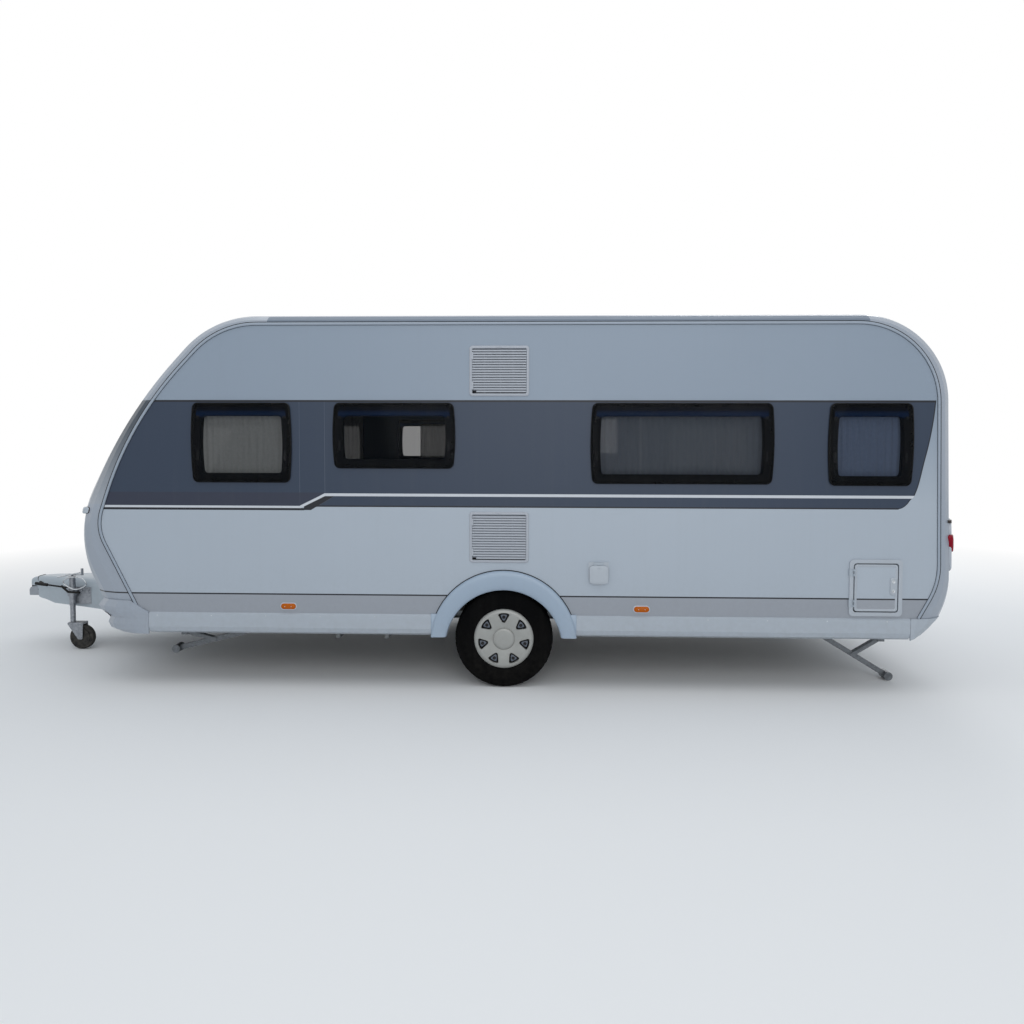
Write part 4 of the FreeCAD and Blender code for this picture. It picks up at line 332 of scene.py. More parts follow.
def livery(tree):
    """Colour of the side walls: band, stripes and the grey zone above the skirt."""
    parts = on_part(tree)[1]
    x, z = parts["X"], parts["Z"]

    def over_slope(slope, x0, z0):
        """Height over a slanted line through a place."""
        return math_of(tree, "SUBTRACT", z, math_of(tree, "MULTIPLY_ADD", x, slope, z0 - slope * x0))

    def flat(x0, x1, z0, z1):
        """Mask of a level patch."""
        return product(tree, between(tree, x, x0, x1), between(tree, z, z0, z1))

    def either(*masks):
        """Mask of all patches together."""
        result = masks[0]
        for mask in masks[1:]:
            result = math_of(tree, "MAXIMUM", result, mask)
        return result

    def tail_edge(table):
        """x of the band's curved rear edge at each height."""
        low, high = table[-1][1], table[0][1]
        curve = tree.nodes.new("ShaderNodeFloatCurve")
        points = curve.mapping.curves[0].points
        shares = sorted(((pz - low) / (high - low), px) for px, pz in table)
        x_low, x_high = min(px for _, px in shares), max(px for _, px in shares)
        levels = [(share, (px - x_low) / (x_high - x_low)) for share, px in shares]
        points[0].location = levels[0]
        points[len(points) - 1].location = levels[-1]
        for level in levels[1:-1]:
            points.new(*level)
        curve.mapping.update()
        tree.links.new(remap(tree, z, low, high), curve.inputs["Value"])
        return math_of(tree, "MULTIPLY_ADD", curve.outputs[0], x_high - x_low, x_low)

    before_tail = math_of(tree, "SUBTRACT", tail_edge(BAND_TAIL), x)
    inside_tail = above(tree, before_tail, 0.0)
    step_x0, step_x1 = STEP_X
    slant = over_slope(LOWER_BAND_SLOPE, *LOWER_BAND_START)
    wedge = product(tree, between(tree, x, step_x0, step_x1),
                    above(tree, over_slope(STEP_SLOPE, step_x0, 1.2605), 0.0), between(tree, z, -FAR, BAND_TOP_Z))
    band = either(flat(-FAR, step_x0, BAND_FOOT_Z["front"], BAND_TOP_Z), wedge,
                  flat(step_x1, FAR, BAND_FOOT_Z["rear"], BAND_TOP_Z))
    shade = product(tree, band, between(tree, z, *SHADE_Z), between(tree, x, -FAR, step_x1))
    lower = product(tree, between(tree, z, *LOWER_BAND_Z), between(tree, slant, -FAR, 0.0), inside_tail)
    top_line = product(tree, between(tree, z, BAND_TOP_Z - BAND_EDGE, BAND_TOP_Z), inside_tail)
    tail_line = product(tree, between(tree, before_tail, 0.0, TAIL_LINE),
                        between(tree, z, LOWER_BAND_Z[0], BAND_TOP_Z))
    foot_line = product(tree, between(tree, z, 1.259, 1.269), between(tree, slant, -FAR, 0.004), inside_tail)
    under_line = between(tree, over_slope(LINE_SLOPE, step_x0, LINE_Z["front"]), -FAR, 0.0)
    dark = product(tree, between(tree, z, 1.236, LOWER_BAND_Z[1]), above(tree, slant, 0.0), under_line,
                   between(tree, x, -0.868, -0.640))
    dark = either(flat(-FAR, -0.866, 1.234, 1.250), dark)
    rise = (LINE_Z["rear"] - LINE_Z["front"]) / (step_x1 - step_x0)
    half = 0.0085 * math.hypot(1.0, rise)
    climb = product(tree, between(tree, over_slope(rise, step_x0, LINE_Z["front"]), -half, half),
                    between(tree, x, step_x0, step_x1))
    light = either(flat(-FAR, step_x0, 1.2495, 1.2645), flat(step_x1, FAR, 1.333, 1.352), climb)

    tone = mix_colour(tree, above(tree, z, 1.6, 0.3), LOWER_WALL, UPPER_WALL)
    tone = mix_colour(tree, between(tree, z, -FAR, LOW_LINE_Z), tone, LOW_ZONE)
    tone = mix_colour(tree, between(tree, z, LOW_LINE_Z - LOW_LINE_HALF, LOW_LINE_Z + LOW_LINE_HALF), tone, STRIPE_DARK)
    for mask, colour in ((product(tree, band, inside_tail), BAND), (shade, BAND_SHADE), (lower, BAND),
                         (top_line, STRIPE_DARK), (tail_line, STRIPE_DARK), (foot_line, STRIPE_DARK),
                         (dark, STRIPE_DARK), (product(tree, light, inside_tail), STRIPE_LIGHT)):
        tone = mix_colour(tree, mask, tone, colour)
    return tone


def streaked_fade(tree, place, stretch, share, fade):
    """Fade that upright streaks run into, by a share."""
    return add_node(tree, "ShaderNodeMath", {"operation": "MULTIPLY_ADD", "use_clamp": True},
                    i0=streaks_of(tree, place, stretch), i1=share,
                    i2=math_of(tree, "SUBTRACT", fade, share / 2)).outputs[0]


def end_livery(tree):
    """Colour of the front: pale, with a dark screen zone between two heights that turns pale and streaked towards its
    foot, a painted reflection.
    """
    place, parts = on_part(tree)
    ahead = between(tree, parts["X"], -FAR, 0.0)
    zone = product(tree, between(tree, parts["Z"], 1.272, BAND_TOP_Z, 0.002), ahead)
    # painted reflection: the screen zone fades to pale, streaked, towards its foot
    fade = streaked_fade(tree, place, (14.0, 14.0, 0.7), 0.3, above(tree, parts["Z"], 1.54, 0.27))
    screen = mix_colour(tree, fade, srgb(156, 162, 170), srgb(50, 62, 74))
    tone = mix_colour(tree, zone, srgb(152, 160, 171), screen)
    line = between(tree, parts["Z"], LOW_LINE_Z - LOW_LINE_HALF, LOW_LINE_Z + LOW_LINE_HALF)
    return mix_colour(tree, product(tree, line, ahead), tone, STRIPE_DARK)


def roof_paint(tree):
    """Pale roof, darker grey where it curves down over the side walls: painted shade on the curve."""
    across = math_of(tree, "ABSOLUTE", on_part(tree)[1]["Y"])
    return mix_colour(tree, above(tree, across, 1.085, 0.004), srgb(176, 182, 190), srgb(112, 123, 137))


FINISH = {
    "wall_skin": soiled("wall sheet", None, 0.34, dust=0.18, uneven=0.03, grain=190.0, depth=0.0001, painter=livery,
                        shine=0.3),
    "shell_moulding": soiled("shell moulding", None, 0.3, dust=0.2, uneven=0.03, painter=end_livery, coat=0.2),
    "roof_skin": soiled("roof sheet", None, 0.4, dust=0.1, uneven=0.08, painter=roof_paint, shine=0.3),
    "edge_rail": soiled("edge rail", srgb(150, 160, 172), 0.4, dust=0.15, shine=0.3),
    "skirt_sheet": soiled("skirt sheet", srgb(166, 174, 183), 0.32, dust=0.3, height=0.62),
    "arch_moulding": soiled("arch moulding", srgb(150, 166, 183), 0.3, dust=0.2, height=0.7),
    "floor_board": soiled("floor board", srgb(56, 54, 52), 0.7, dust=0.5, grain=60.0, depth=0.001),
    "wheel_box_liner": soiled("wheel box liner", srgb(30, 31, 33), 0.8, dust=0.4, grain=90.0, depth=0.0008),
    "galvanised": zinc("galvanised steel", srgb(130, 134, 136), 0.15),
    "axle_steel": zinc("axle steel", srgb(112, 115, 118), 0.3),
    "tyre": soiled("tyre rubber", srgb(6, 6, 7), 0.72, dust=0.03, height=0.5, uneven=0.02, grain=500.0, depth=0.0001,
                   shine=0.05),
    "wheel_paint": soiled("wheel paint", srgb(40, 42, 46), 0.45, dust=0.4, height=0.8, metallic=0.3),
    "wheel_cover": soiled("wheel cover", srgb(154, 155, 152), 0.32, dust=0.2, height=0.8, metallic=0.15),
    "window_rim": soiled("window rim", srgb(14, 15, 18), 0.3, dust=0.05, uneven=0.1, shine=0.2),
    "vent_plastic": soiled("vent plastic", srgb(164, 169, 177), 0.45, dust=0.15, grain=400.0),
    "fitting_white": soiled("pale fitting", srgb(168, 175, 183), 0.36, dust=0.15, coat=0.1),
    "hinge_metal": soiled("painted hinge", srgb(160, 169, 178), 0.36, dust=0.15),
    "lens_red": soiled("red lens", srgb(118, 6, 12), 0.12, dust=0.03, shine=0.3),
    "lens_amber": soiled("amber lens", srgb(176, 86, 10), 0.16, dust=0.05, shine=0.3),
    "lens_clear": soiled("clear lens", srgb(205, 212, 220), 0.08, dust=0.05, coat=0.8),
    "lamp_housing": soiled("lamp housing", srgb(176, 182, 190), 0.28, dust=0.1, coat=0.3),
    "coupling_cast": soiled("coupling casting", srgb(150, 156, 164), 0.4, dust=0.3, metallic=0.2),
    "handle_black": soiled("black grip", srgb(20, 20, 23), 0.5, dust=0.1, grain=300.0, depth=0.0003, shine=0.2),
    "drawbar_moulding": soiled("drawbar moulding", srgb(166, 176, 184), 0.34, dust=0.25, height=0.6, coat=0.15),
    "jockey_steel": zinc("plated steel", srgb(146, 150, 156), 0.1),
    "jockey_rubber": soiled("jockey rubber", srgb(24, 24, 26), 0.6, dust=0.3, height=0.5, shine=0.2),
    "steady_steel": zinc("steady steel", srgb(112, 116, 120), 0.35),
    "locker_board": soiled("locker board", srgb(150, 152, 152), 0.6),
}


def make_glass():
    """Smoked acrylic: dark tint that lets part of the light through."""
    made, tree, shader = new_material("smoked acrylic", ior=1.49, shine=0.06)
    worn = place_group(tree, SOILING, Colour=srgb(7, 10, 14), Dust=0.05, Unevenness=0.03, Roughness=0.03)
    feed(tree, shader, Base_Color=worn["Colour"], Roughness=0.04, Alpha=0.56)
    made.surface_render_method = "BLENDED"
    return made


def make_decor():
    """Printed decor board of the cabinets."""
    made, tree, shader = new_material("decor board")
    found = place_group(tree, TIMBER)
    feed(tree, shader, Base_Color=found["Colour"], Roughness=0.4, Normal=found["Normal"])
    return made


def make_cloth(name, colour, threads, contrast, alpha=1.0):
    """Woven cloth with a soft sheen."""
    made, tree, shader = new_material(name)
    found = place_group(tree, WEAVE, Colour=colour, Threads=threads, Contrast=contrast)
    feed(tree, shader, Base_Color=found["Colour"], Roughness=0.9, Normal=found["Normal"], Alpha=alpha,
         Sheen_Weight=0.3)
    return made


FINISH["window_acrylic"] = make_glass()
FINISH["cabinet_wood"] = make_decor()
FINISH["upholstery"] = make_cloth("seat cloth", srgb(132, 126, 118), 900.0, 0.3)
FINISH["curtain_cloth"] = make_cloth("net curtain", srgb(204, 206, 204), 1500.0, 0.25, alpha=0.85)
for part in frame["record"]["subparts"]:
    for material_slot in NODES[part["node"]].material_slots:
        material_slot.material = FINISH[part["material_slot"]]


# ---------------------------------------------------------------- shapes made from rings of points
WALL_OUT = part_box("side_wall_left")[0][1] * -1      # outer face of the side walls, from the middle


def box_of(node):
    """Low and high corner of a node."""
    return [Vector(corner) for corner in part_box(node)]


def corners_of(points):
    """Low and high corner of the box round points."""
    return [Vector([pick(p[k] for p in points) for k in range(3)]) for pick in (min, max)]


def circle(radius, steps=20):
    """Points (u, v) round a circle."""
    turns = [2 * math.pi * i / steps for i in range(steps)]
    return [(radius * math.cos(t), radius * math.sin(t)) for t in turns]


def scaled(outline, share):
    """Outline of (u, v) made smaller or larger about its zero."""
    return [(u * share, v * share) for u, v in outline]


def upright(outline, x, y, z):
    """Outline of (u, v) stood up round a place, in a plane square to y."""
    return [Vector((x + u, y, z + v)) for u, v in outline]


def node_points(node):
    """Every corner point of a node's mesh, in place."""
    return [NODES[node].matrix_world @ v.co for v in NODES[node].data.vertices]


def solid_boxes(node):
    """Low and high corner of each separate solid in a node, from the front to the rear."""
    data = NODES[node].data
    parent = list(range(len(data.vertices)))

    def root(i):
        while parent[i] != i:
            parent[i] = parent[parent[i]]
            i = parent[i]
        return i

    def join(a, b):
        a, b = root(a), root(b)
        if a != b:
            parent[a] = b

    points, seen = node_points(node), {}
    for i, point in enumerate(points):
        join(i, seen.setdefault(tuple(round(c, 5) for c in point), i))
    for edge in data.edges:
        join(*edge.vertices)
    groups = {}
    for i, point in enumerate(points):
        groups.setdefault(root(i), []).append(point)
    return sorted((corners_of(group) for group in groups.values()),
                  key=lambda pair: (round(pair[0].x, 3), pair[0].y, pair[0].z))


def piece(name, points, faces, materials, body, slot, replaced=(), smooth=40.0, marks=None):
    """Mesh object that rides on a body. marks gives each face its place in the materials."""
    data = bpy.data.meshes.new(name)
    data.from_pydata([tuple(p) for p in points], [], faces)
    made = bpy.data.objects.new(name, data)
    bpy.context.scene.collection.objects.link(made)
    for material in materials if isinstance(materials, (list, tuple)) else [materials]:
        data.materials.append(material)
    if marks:
        data.polygons.foreach_set("material_index", marks)
    tidy_normals(data)
    data.shade_smooth()
    data.set_sharp_from_angle(angle=math.radians(smooth))
    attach(made, body)
    if replaced:
        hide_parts(*replaced)
    return made


def tidy_normals(data):
    """All faces turned outwards."""
    mesh = bmesh.new()
    mesh.from_mesh(data)
    bmesh.ops.recalc_face_normals(mesh, faces=mesh.faces)
    mesh.to_mesh(data)
    mesh.free()
    data.update()


def ring_faces(count, rings, start=0, closed_rings=False):
    """Quads between rings of count points each."""
    faces = []
    last = rings if closed_rings else rings - 1
    for j in range(last):
        a, b = start + j * count, start + (j + 1) % rings * count
        faces += [(a + i, a + (i + 1) % count, b + (i + 1) % count, b + i) for i in range(count)]
    return faces


class Builder:
    """Collects points and faces of several closed forms for one piece."""

    def __init__(self):
        self.points, self.faces, self.marks = [], [], []

    def rings(self, rings, mark=0, cap_first=False, cap_last=False, loop=False):
        """Skin over rings of equal numbers of points."""
        start, count = len(self.points), len(rings[0])
        for ring in rings:
            self.points += list(ring)
        made = ring_faces(count, len(rings), start, loop)
        if cap_first:
            made.append(tuple(range(start, start + count)))
        if cap_last:
            end = start + (len(rings) - 1) * count
            made.append(tuple(range(end, end + count)))
        self.faces += made
        self.marks += [mark] * len(made)

    def bar(self, start, end, radius, mark=0, sides=10, taper=1.0):
        """Round bar from one place to another."""
        start, end = Vector(start), Vector(end)
        axis = (end - start).normalized()
        across = axis.orthogonal().normalized()
        over = axis.cross(across)
        self.rings([[place + across * u + over * v for u, v in circle(size, sides)]
                    for place, size in ((start, radius), (end, radius * taper))], mark, True, True)

    def pipe(self, path, radius, mark=0, sides=8, closed=False):
        """Round pipe along a path of points."""
        rings, count = [], len(path)
        for i, place in enumerate(path):
            before = path[i - 1] if i or closed else path[i]
            after = path[(i + 1) % count] if i < count - 1 or closed else path[i]
            axis = (Vector(after) - Vector(before)).normalized()
            side = axis.cross(Vector((0.0, 0.0, 1.0)))
            side = side.normalized() if side.length > 0.05 else axis.cross(Vector((0.0, 1.0, 0.0))).normalized()
            over = axis.cross(side)
            rings.append([Vector(place) + side * u + over * v for u, v in circle(radius, sides)])
        self.rings(rings, mark, not closed, not closed, closed)

    def slab(self, low, high, mark=0, soften=0.002):
        """Block with softened edges."""
        low, high = Vector(low), Vector(high)
        middle, half = (low + high) / 2, (high - low) / 2
        soften = min(soften, half.x * 0.45, half.y * 0.45, half.z * 0.45)
        rings = []
        for level, inset in ((-half.z, soften), (-half.z + soften, 0.0), (half.z - soften, 0.0), (half.z, soften)):
            outline = rounded_outline(2 * (half.x - inset), 2 * (half.y - inset), soften * 1.2 + 0.0004, 2, 1)
            rings.append([middle + Vector((u, v, level)) for u, v in outline])
        self.rings(rings, mark, True, True)

    def laid(self, outline, levels, meet, mark=0, out=None):
        """Raised form on the body: the outline drawn in by each share, at each lift off the surface."""
        outlines = [shrunk(outline, share) for share, _ in levels]
        self.rings(conform(outlines, [lift for _, lift in levels], meet, out), mark, False, True)

    def make(self, name, materials, body, **options):
        """The piece itself."""
        return piece(name, self.points, self.faces, materials, body, marks=self.marks, **options)


def rounded_outline(width, height, radius, steps=6, side_steps=8, bow=0.0):
    """Points round a rectangle with rounded corners, with its two upright sides bowed outwards."""
    a, b = width / 2, height / 2
    radius = max(min(radius, a * 0.98, b * 0.98), 0.0005)
    corners = ((a - radius, b - radius, 0.0), (radius - a, b - radius, 90.0),
               (radius - a, radius - b, 180.0), (a - radius, radius - b, 270.0))
    flat = []
    for k, (u, v, turn) in enumerate(corners):
        arc = [math.radians(turn + 90.0 * i / steps) for i in range(steps + 1)]
        flat += [(u + radius * math.cos(t), v + radius * math.sin(t)) for t in arc]
        end, start = flat[-1], corners[(k + 1) % 4]
        t = math.radians(start[2])
        after = (start[0] + radius * math.cos(t), start[1] + radius * math.sin(t))
        flat += [(end[0] + (after[0] - end[0]) * i / side_steps, end[1] + (after[1] - end[1]) * i / side_steps)
                 for i in range(1, side_steps)]
    return [(u - math.copysign(bow, u) * (v / b) ** 2 * min(1.0, abs(u) / a), v) for u, v in flat]


# ---------------------------------------------------------------- windows
RIM_GLOSS = soiled("window moulding", srgb(7, 8, 10), 0.25, dust=0.02, uneven=0.03, shine=0.12)
RUBBER = soiled("rubber seal", srgb(14, 14, 15), 0.6, dust=0.1, shine=0.2)
LATCH = soiled("window latch", srgb(34, 35, 38), 0.4, dust=0.05, shine=0.3)


def make_cassette_with_painted_reflection():
    """Inner surround, near black; its head turns navy with a brighter blue line, a painted reflection of the sky in the
    pane.
    """
    made, tree, shader = new_material("blind cassette with painted sky reflection", shine=0.1)
    height = on_part(tree)[1]["Z"]
    # painted sky reflection: navy towards the head, with a brighter blue line across it
    tone = mix_colour(tree, remap(tree, height, 1.84, 1.95), srgb(14, 17, 22), srgb(4, 12, 34))
    tone = mix_colour(tree, between(tree, height, 1.885, 1.905, 0.02), tone, srgb(24, 66, 122))
    worn = place_group(tree, SOILING, Colour=tone, Dust=0.02, Unevenness=0.08, Roughness=0.4)
    feed(tree, shader, Base_Color=worn["Colour"], Roughness=worn["Roughness"])
    return made


CASSETTE_WITH_PAINTED_REFLECTION = make_cassette_with_painted_reflection()
RIM_SIDE = 0.066         # widths of the dark surround
RIM_FOOT = 0.062
RIM_HEAD = 0.088
PANE_EDGE = 0.0168       # how far the pane's edge and its middle stand off the wall
PANE_RISE = 0.0265
DOME_STEPS = 6


def window(name, low, high, side, body, bow=0.014, wall=None, head=RIM_HEAD):
    """A top-hung acrylic window: seal, black surround, blind cassette, domed pane and latches."""
    wall = WALL_OUT if wall is None else wall
    centre_x, centre_z = (low.x + high.x) / 2, (low.z + high.z) / 2
    width, height = high.x - low.x, high.z - low.z

    def lay(points, out, shift=0.0):
        return [Vector((centre_x + u, side * (wall + out), centre_z + v + shift)) for u, v in points]

    def ring(inset, out):
        radius = max(0.036 - inset * 0.5, 0.012)
        return lay(rounded_outline(width - 2 * inset, height - 2 * inset, radius, bow=bow), out)

    frame_part = Builder()
    frame_part.rings([ring(0.003, 0.0003), ring(0.0, 0.003), ring(0.0, 0.011), ring(0.003, 0.0145),
                      ring(0.009, 0.0155), ring(0.014, 0.012), ring(0.022, 0.010), ring(0.030, 0.009)], 0)
    clear_w, clear_h = width - 2 * RIM_SIDE, height - RIM_FOOT - head
    shift = (RIM_FOOT - head) / 2

    def clear(grow, out):
        return lay(rounded_outline(clear_w + 2 * grow, clear_h + 2 * grow, 0.024 + grow, bow=bow * 0.6), out, shift)

    frame_part.rings([ring(0.030, 0.009), clear(0.012, 0.006), clear(0.004, 0.005), clear(0.0, 0.002),
                      clear(-0.002, -0.004), clear(-0.003, -0.036)], 1)
    for u in (clear_w / 2 + 0.018, -clear_w / 2 - 0.018):
        hub = Vector((centre_x + u, side * (wall + 0.006), centre_z + clear_h / 2 + shift - 0.012))
        frame_part.rings([[hub + Vector((a, side * out, b)) for a, b in circle(size)]
                          for size, out in ((0.011, 0.0), (0.011, 0.004), (0.0085, 0.006), (0.004, 0.0062))],
                         2, False, True)
    for u in (-clear_w * 0.5 - 0.02, clear_w * 0.5 + 0.02):
        latch = Vector((centre_x + u, side * (wall + 0.008), centre_z + shift - clear_h * 0.18))
        half = Vector((0.007, 0.004, 0.035))
        frame_part.slab(latch - half, latch + half, 2)
    frame_part.make(name + "_surround", [RIM_GLOSS, CASSETTE_WITH_PAINTED_REFLECTION, LATCH], body, slot="window_rim")

    pane_part = Builder()
    rings = [ring(0.004, 0.0125), ring(0.006, 0.016), ring(0.016, 0.0165), ring(0.028, PANE_EDGE)]
    for step in range(1, DOME_STEPS + 1):
        t = step / DOME_STEPS
        level = PANE_EDGE + (PANE_RISE - PANE_EDGE) * (3 * t * t - 2 * t ** 3)
        inset = 0.028 + 0.05 * t
        rings.append(lay(rounded_outline(width - 2 * inset, height - inset * 2 - (head - 0.07) * t,
                                         0.03 - 0.012 * t, bow=bow * 0.8), level, -(head - 0.07) * t / 2))
    last = rings[-1]
    middle = sum(last, Vector()) / len(last)
    for share in (0.9, 0.72, 0.5, 0.25):
        y = side * (wall + PANE_RISE + 0.0008 * (1 - share * share))
        rings.append([Vector((middle.x + (p.x - middle.x) * share, y, middle.z + (p.z - middle.z) * share))
                      for p in last])
    pane_part.rings(rings, 0, False, True)
    return pane_part.make(name + "_pane", FINISH["window_acrylic"], body, slot="window_acrylic", smooth=80.0)


def side_of(low):
    """-1 for a solid on the left, 1 for one on the right."""
    return -1 if low.y < 0 else 1


def wall_windows():
    """The windows of both side walls, numbered from the front on each side."""
    count = {-1: 0, 1: 0}
    names = {side: name for name, side in SIDES}
    for low, high in solid_boxes("window_frames"):
        side = side_of(low)
        count[side] += 1
        made = window("window_%s_%d" % (names[side], count[side]), low, high, side, "caravan")
        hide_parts("window_panes", "window_frames")


# ---------------------------------------------------------------- tyres
TREAD = soiled("tread rubber", srgb(7, 7, 8), 0.8, dust=0.05, height=0.5, uneven=0.03, grain=500.0, depth=0.0001,
               shine=0.05)
TYRE_STEPS = 180                                    # round the tyre; the cuts are counted in them
CUT_DEPTH = 0.005                                   # of the cuts across the tread
CUTS = {1: (4, 0), 2: (6, 3), 3: (9, 0)}            # for each row of blocks: a cut every so many steps, and its start
SIDE_POINTS, INNER_POINTS = 18, 6                   # points in each side wall and inside the tyre
RIM_LIP = (box_of("wheel_left")[1].z - box_of("wheel_left")[0].z) / 2 + 0.0005


def tyre_profile(half, outer, lip):
    """Place across, radius and row of blocks (0 for none) of each point round the tyre's section."""
    wall = outer - lip
    low = ((0.80, -0.016), (0.81, 0.0008), (0.88, 0.002), (0.93, 0.004), (0.95, 0.008), (0.945, 0.012))
    high = ((0.965, 0.20), (0.975, 0.225), (0.97, 0.245), (0.99, 0.34), (1.0, 0.46), (0.995, 0.59), (0.98, 0.70),
            (0.975, 0.715), (0.962, 0.78), (0.94, 0.85), (0.91, 0.91), (0.87, 0.952))
    side_wall = [(a, lip + r) for a, r in low] + [(a, lip + r * wall) for a, r in high]
    tread = [(0.80, outer - 0.0035, 1), (0.74, outer - 0.0022, 1), (0.62, outer - 0.0012, 1), (0.60, outer - 0.0075, 0),
             (0.53, outer - 0.0075, 0), (0.51, outer - 0.0007, 2), (0.26, outer - 0.0003, 2), (0.24, outer - 0.0075, 0),
             (0.16, outer - 0.0075, 0), (0.14, outer, 3)]
    points = [(-a * half, r, 0) for a, r in side_wall] + [(-a * half, r, k) for a, r, k in tread]
    points += [(a * half, r, k) for a, r, k in reversed(tread)] + [(a * half, r, 0) for a, r in reversed(side_wall)]
    inner = [(0.7 * half, lip - 0.016), (0.86 * half, lip + 0.04), (0.8 * half, outer - 0.02),
             (-0.8 * half, outer - 0.02), (-0.86 * half, lip + 0.04), (-0.7 * half, lip - 0.016)]
    return points + [(a, r, 0) for a, r in inner]


def tyre(name, node, body, axis):
    """Treaded tyre in the room of its plain solid."""
    low, high = box_of(node)
    middle, half = (low + high) / 2, (high - low) / 2
    outer = half.z if axis == "y" else half.x
    across = half.y if axis == "y" else half.z
    section = tyre_profile(across, outer, RIM_LIP)
    made = Builder()
    rings = []
    for i in range(TYRE_STEPS):
        turn = 2 * math.pi * i / TYRE_STEPS
        ring = []
        for a, r, row in section:
            if row and i % CUTS[row][0] == CUTS[row][1]:
                r -= CUT_DEPTH
            u, v = r * math.cos(turn), r * math.sin(turn)
            ring.append(middle + (Vector((u, a, v)) if axis == "y" else Vector((u, v, a))))
        rings.append(ring)
    made.rings(rings, 0, loop=True)
    count = len(section)
    tread = range(SIDE_POINTS - 1, count - INNER_POINTS - SIDE_POINTS)
    made.marks = [int(k in tread) for _ in range(TYRE_STEPS) for k in range(count)]
    return made.make(name, [FINISH["tyre"], TREAD], body, replaced=(node,), slot="tyre", smooth=35.0)


# ---------------------------------------------------------------- curtains and cushions
PLEAT = 0.042            # width of a pleat, in metres
PLEAT_DEPTH = 0.0042
PLEAT_COLUMNS = 12       # columns of faces in each pleat
CURTAIN_ROWS = 24


def curtain(name, low, high, shade):
    """Net curtain gathered in even pleats on its rail."""
    width, height = high.x - low.x, high.z - low.z
    across = (low.y + high.y) / 2
    columns, rows = int(width / PLEAT * PLEAT_COLUMNS), CURTAIN_ROWS
    columns -= columns % 2
    drift = random.Random(name)
    phase = [drift.uniform(-0.6, 0.6) for _ in range(6)]
    points, flat = [], 0.0
    for j in range(rows + 1):
        v = j / rows
        before = None
        for i in range(columns + 1):
            u = i / columns
            turns = u * width / PLEAT + 0.35 * math.sin(5.1 * u + phase[0]) + 0.05 * math.sin(6 * v + 9 * u)
            depth = PLEAT_DEPTH * (0.75 + 0.25 * math.sin(9 * u + phase[1] + 2 * v))
            place = Vector((low.x + u * width, across + depth * math.sin(2 * math.pi * turns), high.z - v * height))
            points.append(place)
            if j == rows // 2:
                flat += (place - before).length if before else 0.0
                before = place
    step = columns + 1
    faces = [(j * step + i, j * step + i + 1, (j + 1) * step + i + 1, (j + 1) * step + i)
             for j in range(rows) for i in range(columns)]
    made = piece(name, points, faces, shade, "caravan", replaced=("curtains",), slot="curtain_cloth", smooth=180.0)


DIM_NET = make_cloth("dim net", srgb(136, 145, 158), 1500.0, 0.25, alpha=0.85)
BLIND_CLOTH = make_cloth("blind cloth", srgb(140, 158, 190), 1100.0, 0.2)
BLIND_Y = 1.112                                     # just behind the window surrounds
BLIND_SIDE, BLIND_FOOT, BLIND_HEAD = 0.05, 0.045, 0.07
DRAWN_SHARE = 0.30                                  # how much of its window the half drawn curtain leaves open


def across_window(name, low, high, side, shade, left_open=BLIND_SIDE):
    """Cloth hung inside one window."""
    curtain(name, Vector((low.x + left_open, side * BLIND_Y, low.z + BLIND_FOOT)),
            Vector((high.x - BLIND_SIDE, side * BLIND_Y, high.z - BLIND_HEAD)), shade)


def curtains():
    """Net curtains, the blind of the last window on the left and a half drawn curtain on the right."""
    hung = solid_boxes("curtains")
    for k, (low, high) in enumerate(hung):
        side = side_of(low)
        shade = DIM_NET if side < 0 and low.x > 0.5 else FINISH["curtain_cloth"]
        curtain("curtain_%d" % (k + 1), low, high, shade)
    windows = solid_boxes("window_frames")
    last = max((pair for pair in windows if pair[0].y < 0), key=lambda pair: pair[0].x)
    across_window("drop_blind", *last, -1, BLIND_CLOTH)
    middles = [(low.x + high.x) / 2 for low, high in hung if low.y > 0]
    for low, high in windows:
        if low.y > 0 and not any(low.x < x < high.x for x in middles):
            across_window("half_drawn_curtain", low, high, 1, FINISH["curtain_cloth"], DRAWN_SHARE * (high.x - low.x))


def crowned_block(low, high, radius, crown, pull, cuts):
    """Points and faces of a stuffed block: round edges, a crowned top and sides drawn in between the corners."""
    mesh = bmesh.new()
    bmesh.ops.create_cube(mesh, size=2.0)
    bmesh.ops.subdivide_edges(mesh, edges=mesh.edges[:], cuts=cuts, use_grid_fill=True)
    middle, half = (low + high) / 2, (high - low) / 2
    radius = min(radius, min(half) * 0.9)
    for vertex in mesh.verts:
        unit = vertex.co.copy()
        place = Vector([unit[k] * half[k] for k in range(3)])
        core = Vector([max(-half[k] + radius, min(half[k] - radius, place[k])) for k in range(3)])
        away = place - core
        place = core + away.normalized() * radius if away.length > 1e-9 else place
        u, v = min(1.0, abs(unit.x)), min(1.0, abs(unit.y))
        swell = (1 - u ** 2.5) * (1 - v ** 2.5)
        if unit.z > 0:
            place.z += crown * swell * unit.z - crown
        place.x -= math.copysign(pull, unit.x) * (1 - v * v) * (u ** 4)
        place.y -= math.copysign(pull, unit.y) * (1 - u * u) * (v ** 4)
        vertex.co = middle + place
    mesh.verts.ensure_lookup_table()
    points = [v.co.copy() for v in mesh.verts]
    faces = [tuple(v.index for v in f.verts) for f in mesh.faces]
    mesh.free()
    return points, faces


